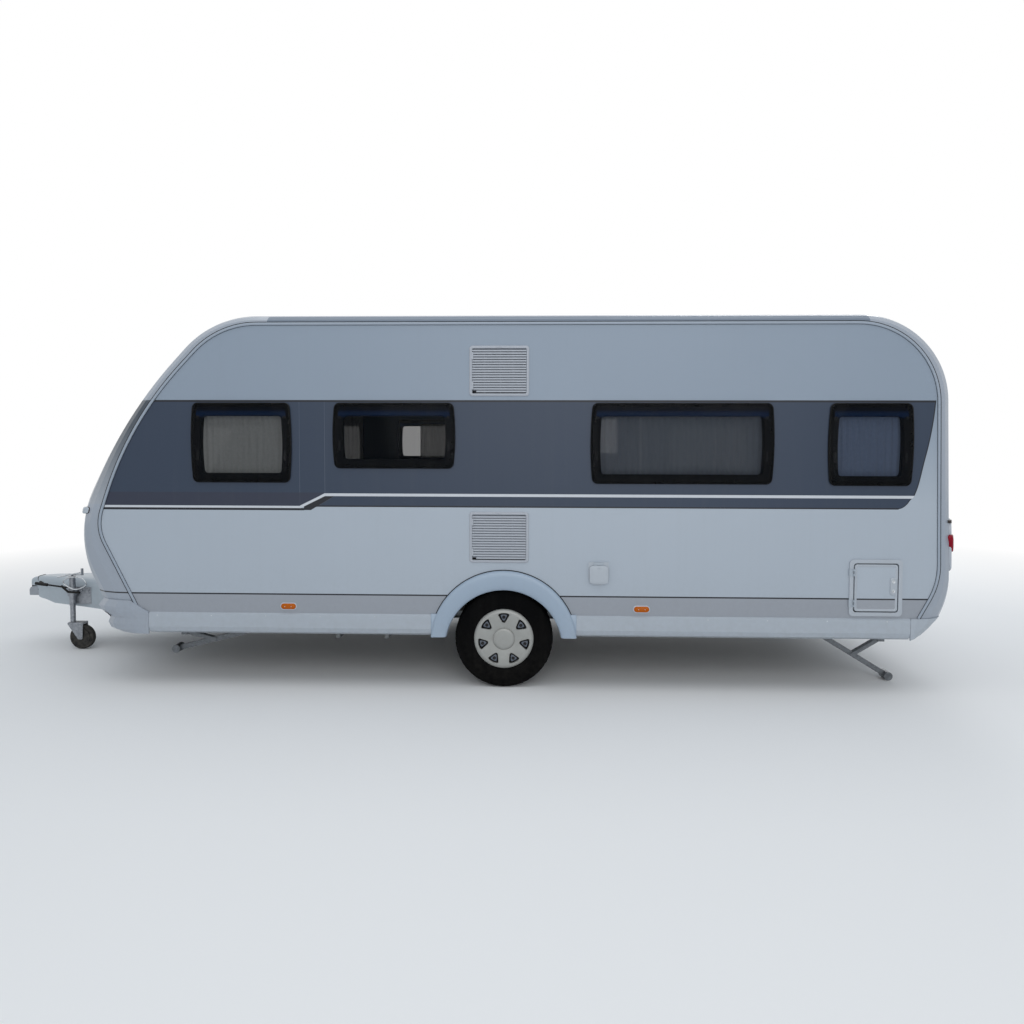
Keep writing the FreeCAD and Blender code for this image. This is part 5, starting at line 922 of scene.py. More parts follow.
def cushions():
    """Bed pad and seat pads, crowned and piped, one piece for each."""
    for k, (low, high) in enumerate(solid_boxes("cushions")):
        size = high - low
        cuts = 22 if max(size) > 1.4 else 16
        points, faces = crowned_block(low, high, 0.032, 0.012, 0.006, cuts)
        pad = piece("cushion_%d" % (k + 1), points, faces, FINISH["upholstery"], "caravan",
                    replaced=("cushions",), slot="upholstery", smooth=180.0)
        pad.modifiers.new("round", "SUBSURF").render_levels = 1
        welt = Builder()
        for level in (high.z - 0.036, low.z + 0.03):
            loop = rounded_outline(size.x - 0.004, size.y - 0.004, 0.034, 6, 14)
            centre = (low + high) / 2
            path = []
            for u, v in loop:
                a, b = abs(u) / (size.x / 2), abs(v) / (size.y / 2)
                du = -math.copysign(0.006, u) * (1 - min(1, b) ** 2) * a ** 4
                dv = -math.copysign(0.006, v) * (1 - min(1, a) ** 2) * b ** 4
                path.append(Vector((centre.x + u + du, centre.y + v + dv, level)))
            welt.pipe(path, 0.003, closed=True, sides=6)
        welt.make("cushion_welt_%d" % (k + 1), FINISH["upholstery"], "caravan", slot="upholstery")


# ---------------------------------------------------------------- shapes that follow the body
REACH = 6.0              # rays start this far out along x


def caster(*nodes):
    """Function that finds where a ray meets the given nodes, and the way their surface faces there."""
    points, faces = [], []
    for node in nodes:
        start = len(points)
        points += node_points(node)
        faces += [tuple(start + i for i in p.vertices) for p in NODES[node].data.polygons]
    tree = BVHTree.FromPolygons(points, faces)

    def cast(start, way):
        hit, normal = tree.ray_cast(Vector(start), Vector(way))[:2]
        if hit is not None and normal.dot(Vector(way)) > 0:
            normal = -normal
        return hit, normal
    return cast


def end_caster(end, *nodes):
    """Function that finds the nodes' surface at a place (y, z), as met from the front (-1) or the rear (1)."""
    cast = caster(*nodes)
    return lambda y, z: cast((end * REACH, y, z), (-end, 0.0, 0.0))


def conform(outlines, lifts, meet, out=None):
    """Rings laid on a surface: outlines are lists of (y, z), each with its lift along the normal or out."""
    rings = []
    for outline, lift in zip(outlines, lifts):
        ring = []
        for y, z in outline:
            hit, normal = meet(y, z)
            ring.append(hit + (Vector(out) if out else normal) * lift)
        rings.append(ring)
    return rings


def shrunk(outline, share):
    """Outline drawn in towards its middle."""
    middle = (sum(p[0] for p in outline) / len(outline), sum(p[1] for p in outline) / len(outline))
    return [(middle[0] + (u - middle[0]) * share, middle[1] + (v - middle[1]) * share) for u, v in outline]


def smoothed(corners, steps=5, share=0.32):
    """Closed outline through corners, each rounded off over a share of its edges."""
    points = []
    for i, corner in enumerate(corners):
        before, after = Vector(corners[i - 1]), Vector(corners[(i + 1) % len(corners)])
        here = Vector(corner)
        a, b = here.lerp(before, share), here.lerp(after, share)
        for k in range(steps + 1):
            t = k / steps
            points.append(tuple(a.lerp(here, t).lerp(here.lerp(b, t), t)))
    return points


def placed(outline, u0, v0):
    """Outline of (u, v) moved to a place."""
    return [(u0 + u, v0 + v) for u, v in outline]


def screws(builder, places, way, radius=0.0045, mark=0):
    """Domed screw heads at places, facing a way."""
    way = Vector(way).normalized()
    across = way.orthogonal().normalized()
    over = way.cross(across)
    for place in places:
        builder.rings([[Vector(place) + way * lift + across * u + over * v for u, v in circle(radius * size, 10)]
                       for size, lift in ((1.0, 0.0), (1.0, 0.0008), (0.75, 0.0018), (0.35, 0.0022))],
                      mark, False, True)


# ---------------------------------------------------------------- lamps
CHROME = zinc("bright trim", srgb(190, 194, 198), 0.0)
SMOKED = soiled("smoked lens", srgb(44, 34, 30), 0.15, dust=0.03, shine=0.3)
REAR = end_caster(1, "rear_panel")
FRONT = end_caster(-1, "front_panel", "locker_lid")
FRONT_GLASS = end_caster(-1, "front_window", "front_panel")
BUMPER = end_caster(-1, "front_skirt")
SKIRTS = caster("skirts")


def ribbed_lens(name, colour, ribs):
    """Lens with pressed ribs."""
    made, tree, shader = new_material(name, shine=0.12)
    wave = math_of(tree, "SINE", product(tree, on_part(tree)[1]["Z"], ribs))
    worn = place_group(tree, SOILING, Colour=colour, Dust=0.03, Unevenness=0.05, Roughness=0.12)
    feed(tree, shader, Base_Color=worn["Colour"], Roughness=worn["Roughness"], Normal=bumped(tree, wave, 0.5, 0.0006))
    return made


RED_LENS = ribbed_lens("ribbed red lens", srgb(140, 12, 34), 900.0)
AMBER_LENS = ribbed_lens("ribbed amber lens", srgb(178, 88, 10), 900.0)
CLEAR_LENS = ribbed_lens("ribbed clear lens", srgb(176, 184, 192), 700.0)
LAMP_PARTS = [FINISH["lamp_housing"], RED_LENS, AMBER_LENS, SMOKED, CHROME, CLEAR_LENS]
HOUSING, RED, AMBER, DARK, BRIGHT, CLEAR = range(6)     # places in LAMP_PARTS
LAMP_REACH = 1.108                                      # the tail lamps' outer edge, from the middle


def tail_lamps():
    """Rear lamp clusters that wrap round the corners, with a red lens that shows from the side."""
    for (low, high), (name, side) in zip(solid_boxes("tail_lamp_housings"), SIDES):
        y0, y1 = min(abs(low.y), abs(high.y)), LAMP_REACH
        edge = y1 - 0.020
        z0, z1 = low.z, high.z
        out = Vector((1.0, side * 0.6, 0.0)).normalized()
        made = Builder()
        for corners, levels, mark, rounding in (
                ([(y0, z0), (edge - 0.03, z0), (edge, z0 + 0.1), (edge, z1 - 0.03), (edge - 0.02, z1), (y0, z1)],
                 ((1.0, 0.0005), (0.995, 0.009), (0.96, 0.014), (0.9, 0.016), (0.5, 0.017)), HOUSING, 0.4),
                ([(y0 + 0.012, 0.957), (y0 + 0.075, 0.950), (y1 - 0.040, 0.968), (y1 - 0.004, 1.03),
                  (y1 + 0.010, 1.088), (y0 + 0.012, 1.088)],
                 ((1.0, 0.0005), (0.998, 0.014), (0.95, 0.024), (0.85, 0.027), (0.5, 0.029)), RED, 0.32),
                ([(y0 + 0.02, 1.164), (y1 + 0.008, 1.164), (y1 + 0.008, 1.188), (y0 + 0.02, 1.188)],
                 ((1.0, 0.0005), (0.995, 0.014), (0.9, 0.018), (0.5, 0.018)), DARK, 0.2)):
            made.laid(smoothed([(side * y, z) for y, z in corners], 6, rounding), levels, REAR, mark, out)
        for z, mark in ((0.888, AMBER), (1.127, CLEAR)):
            centre = (side * (y0 + 0.058), z)
            bezel = [placed(circle(r, 28), *centre) for r in (0.036, 0.036, 0.0335, 0.033)]
            made.rings(conform(bezel, (0.012, 0.021, 0.022, 0.018), REAR, out), BRIGHT)
            lens = [placed(circle(r, 28), *centre) for r in (0.033, 0.030, 0.02, 0.008)]
            made.rings(conform(lens, (0.018, 0.023, 0.026, 0.027), REAR, out), mark, False, True)
        made.make("tail_lamp_" + name, LAMP_PARTS, "caravan", replaced=("tail_lamp_housings",), slot="lamp_housing")


def high_brake_lamp():
    """Long brake lamp at the head of the rear."""
    low, high = [pair for pair in solid_boxes("tail_lamp_red") if pair[0].z > 2.0][0]
    width, height, middle_z = high.y - low.y, high.z - low.z, (low.z + high.z) / 2
    strip = Builder()
    for size, levels, mark in ((0.0, ((0.0, 0.001), (0.0, 0.016), (0.003, 0.020)), HOUSING),
                               (0.005, ((0.0, 0.018), (0.001, 0.023), (0.004, 0.025)), RED)):
        outlines = [placed(rounded_outline(width - 2 * d, height - 2 * d, height / 2 - d, 6, 16), 0.0, middle_z)
                    for d in [size + inset for inset, _ in levels]]
        strip.rings(conform(outlines, [lift for _, lift in levels], REAR, (1.0, 0.0, 0.0)), mark, False, True)
    strip.make("high_brake_lamp", LAMP_PARTS, "caravan", replaced=("tail_lamp_red",), slot="lens_red")


def side_markers():
    """Amber side markers on dark feet, with two screws in each."""
    foot = ((0.003, -0.002), (0.006, -0.002), (0.0075, 0.004))
    lens = ((0.0075, 0.004), (0.012, 0.006), (0.016, 0.012), (0.0175, 0.02))
    wall = WALL_OUT - 0.0027
    for k, (low, high) in enumerate(pair for pair in solid_boxes("amber_lamps") if pair[1].z < 0.7):
        side, middle = side_of(low), (low + high) / 2
        width, height = high.x - low.x, high.z - low.z
        marker = Builder()
        for levels, mark in ((foot, HOUSING), (lens, AMBER)):
            marker.rings([upright(rounded_outline(width - 2 * inset, height - 2 * inset, 0.024 - inset, 8, 4),
                                  middle.x, side * (wall + out), middle.z) for out, inset in levels], mark, False, True)
        screws(marker, [(middle.x + d, side * (WALL_OUT + 0.0152), middle.z) for d in (-0.022, 0.022)],
               (0, side, 0), 0.003, BRIGHT)
        marker.make("side_marker_%d" % (k + 1), LAMP_PARTS, "caravan", replaced=("amber_lamps",), slot="lens_amber")


def front_markers():
    """Clear front lamps on dark feet at the front corners."""
    for (low, high), (name, side) in zip(solid_boxes("front_lamps"), SIDES):
        y0, y1 = sorted((abs(low.y), abs(high.y)))
        z0, z1 = low.z + 0.006, high.z - 0.006
        outline = smoothed([(side * y0, z0), (side * y1, z0), (side * y1, z1), (side * y0, z1)], 6, 0.3)
        out = Vector((-0.85, side * 0.5, 0.0)).normalized()
        lamp = Builder()
        lamp.laid(outline, ((1.0, 0.0005), (1.0, 0.004), (0.97, 0.005)), FRONT, DARK, out)
        lamp.laid(outline, ((0.94, 0.004), (0.93, 0.014), (0.86, 0.021), (0.7, 0.024), (0.4, 0.025)), FRONT, CLEAR, out)
        lamp.make("front_lamp_" + name, LAMP_PARTS, "caravan", replaced=("front_lamps",), slot="lens_clear")


# ---------------------------------------------------------------- vents, arches and rails
# near black colour for the inside of recesses and slots: painted shade
PAINTED_RECESS_SHADE = soiled("painted recess shade", srgb(16, 16, 18), 0.8, dust=0.1, shine=0.1)
SLATS = 17
SLAT = ((-0.0140, 1.10), (-0.0135, 1.16), (0.0030, 0.80), (0.0062, 0.70), (0.0066, 0.20), (0.0040, 0.10),
        (-0.0120, 0.30))     # section of a slat: how far out, and the share of the pitch above its foot
VENT_BORDER = 0.0195


def vents():
    """Louvred fridge vents: a rounded surround, slats over a recess whose back is painted near black as its shade, and
    turn latches.
    """
    boxes = sorted(solid_boxes("fridge_vents"), key=lambda pair: pair[0].z)
    for name, (low, high) in zip(("vent_lower", "vent_upper"), boxes):
        middle, width, height = (low + high) / 2, high.x - low.x, high.z - low.z
        out_y = -WALL_OUT

        def ring(inset, out, radius):
            return upright(rounded_outline(width - 2 * inset, height - 2 * inset, radius, 6, 10),
                           middle.x, out_y - out, middle.z)
        made = Builder()
        made.rings([ring(0.0, 0.0003, 0.022), ring(0.0, 0.004, 0.022), ring(0.004, 0.008, 0.019),
                    ring(0.012, 0.009, 0.014), ring(0.017, 0.008, 0.010), ring(0.019, 0.004, 0.009),
                    ring(VENT_BORDER, -0.012, 0.009)], 0)
        # back of the recess behind the slats: painted shade
        made.rings([ring(VENT_BORDER, -0.016, 0.009), ring(0.021, -0.0161, 0.009)], 1, True, True)
        top, foot = high.z - 0.024, low.z + 0.024
        pitch = (top - foot) / SLATS
        x0, x1 = low.x + VENT_BORDER, high.x - VENT_BORDER
        for k in range(SLATS):
            z = foot + pitch * k
            made.rings([[Vector((x, out_y - out, z + pitch * rise)) for out, rise in SLAT] for x in (x0, x1)],
                       0, True, True)
        for x in (x0 + 0.085, x0 + 0.19, x0 + 0.275):
            made.slab((x - 0.0015, out_y + 0.001, foot), (x + 0.0015, out_y + 0.013, top), 0, 0.0005)
        for z in (top - 0.045, foot + 0.048):
            made.slab((x0 - 0.006, out_y - 0.0105, z - 0.025), (x0 + 0.008, out_y - 0.004, z + 0.025), 0, 0.002)
        # small dark slot at the foot: painted shade
        made.slab((x0 + 0.002, out_y - 0.0098, foot + 0.002), (x0 + 0.028, out_y - 0.005, foot + 0.013), 1, 0.002)
        made.slab((middle.x - 0.018, out_y - 0.0105, high.z - 0.012), (middle.x + 0.018, out_y - 0.007, high.z - 0.006),
                  0, 0.001)
        made.make(name, [FINISH["vent_plastic"], PAINTED_RECESS_SHADE], "caravan", replaced=("fridge_vents",), slot="vent_plastic")


ARCH_OUTER = 0.504                                  # radius of the outer edge, centred that far below its top
ARCH_OPENING, ARCH_OPENING_Z = 0.402, 0.290         # radius of the opening and height of its centre
ARCH_STEPS = 96
SEAL_START = 0.36                                   # angle above level at which the dark seal starts
SEAL_SECTION = ((0.0005, 0.0004), (0.0055, 0.0004), (0.005, 0.0045), (0.0005, 0.0065))
SLEEVE = (0.455, 0.4995)                            # ends of the sleeve over the skirt, from the wheel
SLEEVE_SECTION = ((0.0015, 0.5265), (0.009, 0.5255), (0.0125, 0.518), (0.0125, 0.424), (0.0095, 0.402),
                  (0.001, 0.381), (-0.012, 0.3705), (-0.03, 0.3705), (-0.03, 0.378), (0.0, 0.392), (0.001, 0.43))


def arches():
    """Rolled wheel arch mouldings with a dark seal along their outer edge and sleeves over the skirts."""
    for (low, high), (name, side) in zip(solid_boxes("wheel_arches"), SIDES):
        centre_x = (low.x + high.x) / 2
        band_z = high.z - ARCH_OUTER
        stand = abs(low.y if side < 0 else high.y) - WALL_OUT
        profile = ((0.0, 0.0004), (0.0, 0.010), (0.02, 0.019), (0.07, 0.026), (0.16, 0.0295), (0.30, stand),
                   (0.62, stand - 0.001), (0.84, stand - 0.004), (0.94, stand - 0.009), (0.985, stand - 0.016),
                   (1.0, stand - 0.026), (1.0, -0.048), (0.94, -0.048), (0.94, -0.001))
        made = Builder()
        rings, seal = [], []
        a0 = math.asin((low.z - band_z) / ARCH_OUTER)
        b0 = math.asin((low.z - ARCH_OPENING_Z) / ARCH_OPENING)
        for i in range(ARCH_STEPS + 1):
            t = i / ARCH_STEPS
            a = a0 + t * (math.pi - 2 * a0)
            b = b0 + t * (math.pi - 2 * b0)
            far = Vector((centre_x + ARCH_OUTER * math.cos(a), 0, band_z + ARCH_OUTER * math.sin(a)))
            near = Vector((centre_x + ARCH_OPENING * math.cos(b), 0, ARCH_OPENING_Z + ARCH_OPENING * math.sin(b)))
            places = [(far.lerp(near, share), out) for share, out in profile]
            rings.append([Vector((place.x, side * (WALL_OUT + out), place.z)) for place, out in places])
            if SEAL_START < a < math.pi - SEAL_START:
                away = (far - near).normalized()
                seal.append([far + away * d + Vector((0, side * (WALL_OUT + out), 0)) for d, out in SEAL_SECTION])
        made.rings(rings, 0, True, True)
        made.rings(seal, 1, True, True)
        for way in (-1, 1):
            inner_x, outer_x = (centre_x + way * reach for reach in SLEEVE)
            made.rings([[Vector((x, side * (WALL_OUT + out + (grow if out > 0.002 else 0)), z))
                         for out, z in SLEEVE_SECTION]
                        for x, grow in ((inner_x, 0.0), (inner_x + way * 0.004, 0.004),
                                        (outer_x - way * 0.004, 0.004), (outer_x, 0.0))], 0, True, True)
        made.make("arch_moulding_" + name, [FINISH["arch_moulding"], RUBBER], "caravan", replaced=("wheel_arches",),
                  slot="arch_moulding")


def hull(points):
    """Convex outline of points in a plane, in order."""
    points = sorted({(round(u, 5), round(v, 5)) for u, v in points})
    result = []
    for run in (points, points[::-1]):
        part = []
        for p in run:
            while len(part) > 1 and ((part[-1][0] - part[-2][0]) * (p[1] - part[-2][1])
                                     - (part[-1][1] - part[-2][1]) * (p[0] - part[-2][0])) <= 1e-9:
                part.pop()
            part.append(p)
        result += part[:-1]
    return result


RAIL_ENDS = {-1: 0.566, 1: 0.5215}                  # heights at which the rails end, at the front and the rear
WALL_MIDDLE = Vector((0.55, 1.4))                   # (x, z) of a place well inside the side walls' outline
# section of each strip and its place in the materials; the two dark strips beside the bead are painted shade of its
# edges
RAIL_STRIPS = (
    (((-0.0108, 0.0004), (-0.0108, 0.0026), (-0.0092, 0.0026), (-0.0092, 0.0004)), 1),
    (((-0.0092, 0.0004), (-0.0092, 0.0050), (-0.0070, 0.0086), (-0.0030, 0.0098), (0.0020, 0.0098),
      (0.0068, 0.0080), (0.0092, 0.0045), (0.0092, 0.0)), 0),
    (((0.0092, 0.0), (0.0092, 0.0044), (0.0138, 0.0040), (0.0138, -0.0008)), 1))


def rails():
    """Awning rails: a rounded bead between two dark strips, painted shade along its edges, along the edge of each side
    wall.
    """
    for name, side in SIDES:
        wall = node_points("side_wall_" + name)
        outline = hull([(p.x, p.z) for p in wall])
        path = []
        for i, here in enumerate(outline):
            a, b = Vector(outline[i - 1]), Vector(outline[(i + 1) % len(outline)])
            here = Vector(here)
            path.append((here, ((here - a).normalized() + (b - here).normalized()).normalized()))
        low = min(p.z for p in wall)
        start = min(range(len(path)), key=lambda i: (path[i][0].y > low + 0.001, path[i][0].x))
        path = path[start:] + path[:start]
        if path[1][0].x > path[-1][0].x:
            path = [path[0]] + path[:0:-1]
            path = [(p, -t) for p, t in path]
        keep = []
        for (p, _), (q, along) in zip(path, path[1:]):
            for way, level in RAIL_ENDS.items():
                at_end = ((p.x + q.x) / 2 > 0) == (way > 0) and (q.y - p.y) * way < 0
                if at_end and min(p.y, q.y) < level < max(p.y, q.y):
                    keep.append((p.lerp(q, (level - p.y) / (q.y - p.y)), (q - p).normalized()))
            if q.y > RAIL_ENDS[-1 if q.x < 0 else 1]:
                keep.append((q, along))
        made = Builder()
        for profile, mark in RAIL_STRIPS:
            rings = []
            for place, along in keep:
                out = Vector((along.y, -along.x))
                if out.dot(place - WALL_MIDDLE) < 0:
                    out = -out
                rings.append([Vector((place.x + out.x * d, side * (WALL_OUT + lift), place.y + out.y * d))
                              for d, lift in profile])
            made.rings(rings, mark, True, True)
        # the dark strips take the rubber seal material as painted shade
        made.make("awning_rail_" + name, [FINISH["edge_rail"], RUBBER], "caravan", replaced=("edge_trims",),
                  slot="edge_rail")


# ---------------------------------------------------------------- hubcaps
SPOKES = 7
HUB_INSERT = soiled("hub insert", srgb(84, 92, 104), 0.4, dust=0.1)


def hubcap(name, side):
    """Domed cover: wide spokes between rounded openings, a raised cap and a small insert in each opening."""
    low, high = box_of("hubcap_" + name)
    middle = (low + high) / 2
    face = high.y if side > 0 else -low.y
    rim = (high.z - low.z) / 2
    sector = 2 * math.pi / SPOKES
    profile = ((0.0, 0.0), (0.03, 0.0003), (0.055, 0.001), (0.0690, 0.0022), (0.0715, 0.0045), (0.0722, 0.0120),
               (0.0765, 0.0120), (0.0780, 0.0075), (0.085, 0.0066), (0.098, 0.0050))
    tail = ((0.186, 0.0012), (0.191, 0.0022), (0.197, 0.0045), (0.203, 0.0085), (rim, 0.0135), (rim - 0.003, 0.0135))
    steps, across = 14, 8
    inner_r, outer_r = 0.110, 0.182

    def at(radius, turn, depth):
        return Vector((middle.x + radius * math.sin(turn), side * (face - depth), middle.z + radius * math.cos(turn)))

    def half_angle(t):
        width = (0.009 + 0.038 * t) * max(0.0, 1 - abs(2 * t - 1) ** 9) ** 0.5
        return width / (inner_r + (outer_r - inner_r) * t)
    mesh = bmesh.new()
    shares = [(1 - math.cos(math.pi * k / steps)) / 2 for k in range(steps + 1)]
    table = [(r, d, None) for r, d in profile]
    table += [(inner_r + (outer_r - inner_r) * t, 0.0040 - 0.0032 * t, t) for t in shares]
    table += [(r, d, None) for r, d in tail]
    grid = []
    for radius, depth, share in table:
        row = []
        for k in range(SPOKES):
            gap = half_angle(share) if share is not None else 0.0
            for s in range(across + 1):
                turn = sector * k + gap + (sector - 2 * gap) * s / across
                sag = 0.0018 * math.sin(math.pi * s / across) if share is not None else 0.0
                row.append(mesh.verts.new(at(radius, turn, depth - sag * math.sin(math.pi * (share or 0)))))
        grid.append(row)
    for j in range(len(grid) - 1):
        for k in range(SPOKES):
            for s in range(across):
                i = k * (across + 1) + s
                mesh.faces.new((grid[j][i], grid[j][i + 1], grid[j + 1][i + 1], grid[j + 1][i]))
    first = len(profile)
    for k in range(SPOKES):
        loop = [grid[first + j][k * (across + 1)] for j in range(steps + 1)]
        loop += [grid[first + j][(k - 1) % SPOKES * (across + 1) + across] for j in range(steps - 1, 0, -1)]
        centre = sum((v.co for v in loop), Vector()) / len(loop)
        deep = []
        for v in loop:
            place = centre.lerp(v.co, 0.93)
            deep.append(mesh.verts.new((place.x, v.co.y - side * 0.009, place.z)))
        for i in range(len(loop)):
            n = (i + 1) % len(loop)
            mesh.faces.new((loop[i], loop[n], deep[n], deep[i]))
    bmesh.ops.remove_doubles(mesh, verts=mesh.verts, dist=0.00005)
    mesh.verts.ensure_lookup_table()
    made = Builder()
    mesh.verts.index_update()
    made.points = [v.co.copy() for v in mesh.verts]
    made.faces = [tuple(v.index for v in f.verts) for f in mesh.faces]
    made.marks = [0] * len(made.faces)
    mesh.free()
    insert = smoothed([(-0.026, 0.020), (0.026, 0.020), (0.006, -0.022), (-0.006, -0.022)], 4, 0.3)
    for k in range(SPOKES):
        turn = sector * k
        radial = Vector((math.sin(turn), 0, math.cos(turn)))
        sideways = Vector((math.cos(turn), 0, -math.sin(turn)))

        def plate(outline, depth, rise=0.0):
            return [at(0.148, turn, depth) + radial * (v + rise) + sideways * u for u, v in outline]
        made.rings([plate(insert, 0.0128), plate(insert, 0.0118), plate(scaled(insert, 0.85), 0.0112)], 1, True, True)
        made.rings([plate(circle(r, 16), depth, 0.003) for r, depth in
                    ((0.0115, 0.0112), (0.0115, 0.0085), (0.0095, 0.0080), (0.0085, 0.0086), (0.008, 0.0105))],
                   2, False, True)
    made.make("hubcap_cover_" + name, [FINISH["wheel_cover"], HUB_INSERT, FINISH["handle_black"]], "wheel_" + name,
              replaced=("hubcap_" + name,), slot="wheel_cover")


BOLT_FACE = 1.030        # the wheel's bolting face, from the middle


def wheel_bolts(name, side):
    """Wheel bolts and a tyre valve behind the cover."""
    low, high = box_of("wheel_" + name)
    middle = (low + high) / 2
    made = Builder()
    for k in range(5):
        turn = 2 * math.pi * k / 5 + 0.3
        foot, neck, head = (Vector((middle.x + 0.05 * math.sin(turn), side * y, middle.z + 0.05 * math.cos(turn)))
                            for y in (BOLT_FACE, BOLT_FACE + 0.010, BOLT_FACE + 0.014))
        made.bar(foot, neck, 0.0085, 0, 6)
        made.bar(neck, head, 0.0075, 0, 12, 0.7)
    foot = Vector((middle.x + 0.160, side * 1.062, middle.z))
    neck, tip = foot + Vector((0.004, side * 0.016, 0)), foot + Vector((0.005, side * 0.022, 0))
    made.bar(foot, neck, 0.004, 1, 10)
    made.bar(neck, tip, 0.0028, 1, 10)
    made.make("wheel_bolts_" + name, [CHROME, RUBBER], "wheel_" + name, slot="wheel_paint")


# ---------------------------------------------------------------- hatches and doors
def leaf(name, node, body, side, rim, lift, stuff, fittings):
    """Moulded rim round a flat painted panel, over a plain leaf."""
    low, high = box_of(node)
    back = min(abs(low.y), abs(high.y))
    edges = [point.x for point in node_points(node) if abs(point.y) < back + 0.010]
    low.x, high.x = min(edges), max(edges)
    middle, width, height = (low + high) / 2, high.x - low.x, high.z - low.z
    front = WALL_OUT + lift

    def ring(inset, out, radius):
        return upright(rounded_outline(width - 2 * inset, height - 2 * inset, radius, 6, 6),
                       middle.x, side * out, middle.z)
    made = Builder()
    made.rings([ring(0.004, back, 0.014), ring(0.0, back + 0.004, 0.018), ring(0.0, front - 0.003, 0.018),
                ring(0.003, front, 0.016), ring(rim - 0.006, front, 0.012), ring(rim - 0.002, front - 0.0025, 0.010)],
               0, True)
    made.rings([ring(rim - 0.002, front - 0.0025, 0.010), ring(rim, front - 0.003, 0.010),
                ring(rim + 0.004, front - 0.003, 0.008)], 1, False, True)
    fittings(made, high.x - 0.030, middle.z + 0.012, front)
    made.make(name, stuff, body, replaced=(node,), slot="fitting_white")


HATCH_PAINT = soiled("painted leaf", None, 0.34, dust=0.15, uneven=0.03, grain=190.0, depth=0.0001, painter=livery)


def hatch_locks(made, x, z, front):
    """Lock plate with two round locks, round a place on the leaf."""
    outline = rounded_outline(0.042, 0.118, 0.018, 6, 4)
    made.rings([[Vector((x + u * wide, -(front + out), z + v * tall)) for u, v in outline] for wide, tall, out in
                ((1.0, 1.0, -0.003), (1.0, 1.0, 0.0015), (0.9, 0.96, 0.0035), (0.6, 0.9, 0.0038))], 0, False, True)
    for dz in (-0.032, 0.032):
        made.rings([upright(circle(r), x, -(front + out), z + dz) for r, out in
                    ((0.0115, 0.003), (0.0115, 0.0055), (0.010, 0.0062), (0.0085, 0.0052), (0.004, 0.0052))],
                   2, False, True)
        # key slots of the locks, coloured near black: painted shade
        made.slab((x - 0.0006, -(front + 0.0062), z + dz - 0.0045), (x + 0.0006, -(front + 0.005), z + dz + 0.0045),
                  3, 0.0002)


def inlet_cover():
    """Flap of the power inlet: a light bowed plate with a round lip and a thumb notch."""
    low, high = box_of("inlet_flap")
    x0, x1, z0, z1 = low.x - 0.006, high.x + 0.006, low.z - 0.004, high.z
    middle, front = (x0 + x1) / 2, abs(low.y)
    outline = smoothed([(x0, z1), (x1, z1), (x1, z0 + 0.010), (middle + 0.045, z0 + 0.002), (middle, z0),
                        (middle - 0.045, z0 + 0.002), (x0, z0 + 0.010)], 4, 0.22)
    made = Builder()
    made.rings([upright(shrunk(outline, share), 0.0, -(front + out), 0.0)
                for share, out in ((0.985, -0.018), (1.0, -0.014), (1.0, -0.004), (0.975, -0.0005), (0.9, 0.0006),
                                   (0.5, 0.0012))], 0, True, True)
    made.slab((middle - 0.010, -(front + 0.0030), z1 - 0.020), (middle + 0.010, -front, z1 - 0.012), 0, 0.001)
    made.make("inlet_cover", FINISH["fitting_white"], "inlet_flap", replaced=("inlet_flap",), slot="fitting_white")


# pressed line of the door: inset and height of each step of its section
PRESSED_LINE = ((0.0, 0.0002), (0.002, 0.0012), (0.006, 0.0018), (0.010, 0.0012), (0.012, 0.0002))


def door():
    """Entrance door: its window, handle plate with a lock, hinge plates and two pressed lines."""
    low, high = box_of("entrance_door")
    face = high.y
    frame_low, frame_high = [p for p in solid_boxes("door_fittings") if p[0].z > 1.5 and p[1].z < 2.03][0]
    glass = window("door_pane", frame_low, frame_high, 1, "door", bow=0.004, wall=face, head=0.066)
    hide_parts("door_window", "door_fittings")
    made = Builder()
    plate_low, plate_high = [p for p in solid_boxes("door_fittings") if p[1].x > 1.72][0]
    middle = (plate_low + plate_high) / 2

    def ring(w, h, r, out):
        return upright(rounded_outline(w, h, r, 6, 4), middle.x, face + out, middle.z)
    made.rings([ring(0.063, 0.170, 0.02, 0.0003), ring(0.063, 0.170, 0.02, 0.005), ring(0.057, 0.164, 0.018, 0.008),
                ring(0.046, 0.150, 0.014, 0.0085)], 0, False, True)
    # recess of the handle, coloured near black: painted shade
    made.rings([ring(0.040, 0.080, 0.012, 0.0087), ring(0.036, 0.076, 0.010, 0.002)], 1, False, True)
    made.slab((middle.x - 0.012, face + 0.006, middle.z - 0.032), (middle.x + 0.012, face + 0.0125, middle.z + 0.030),
              0, 0.003)
    made.rings([upright(circle(0.0115 * share, 18), middle.x, face + out, middle.z - 0.060)
                for share, out in ((1, 0.0085), (1, 0.0115), (0.8, 0.0125), (0.7, 0.0115))], 2, False, True)
    for z in (0.805, 2.080):
        made.slab((low.x + 0.0005, face + 0.0002, z - 0.043), (low.x + 0.0295, face + 0.0035, z + 0.043), 0, 0.001)
        screws(made, [(low.x + 0.021, face + 0.0035, z + d) for d in (-0.028, 0.0, 0.028)], (0, 1, 0), 0.004, 2)
        made.bar((low.x - 0.0035, face + 0.008, z - 0.045), (low.x - 0.0035, face + 0.008, z + 0.045), 0.007, 0, 14)
    for z0, z1 in ((low.z + 0.06, 1.30), (2.06, high.z - 0.06)):
        width, height = high.x - low.x - 0.090, z1 - z0
        made.rings([upright(rounded_outline(width - 2 * inset, height - 2 * inset, 0.03 - inset, 6, 6),
                            (low.x + high.x) / 2, face + out, (z0 + z1) / 2) for inset, out in PRESSED_LINE], 3)
    made.make("door_furniture", [FINISH["handle_black"], PAINTED_RECESS_SHADE, CHROME, FINISH["wall_skin"]], "door",
              slot="window_rim")


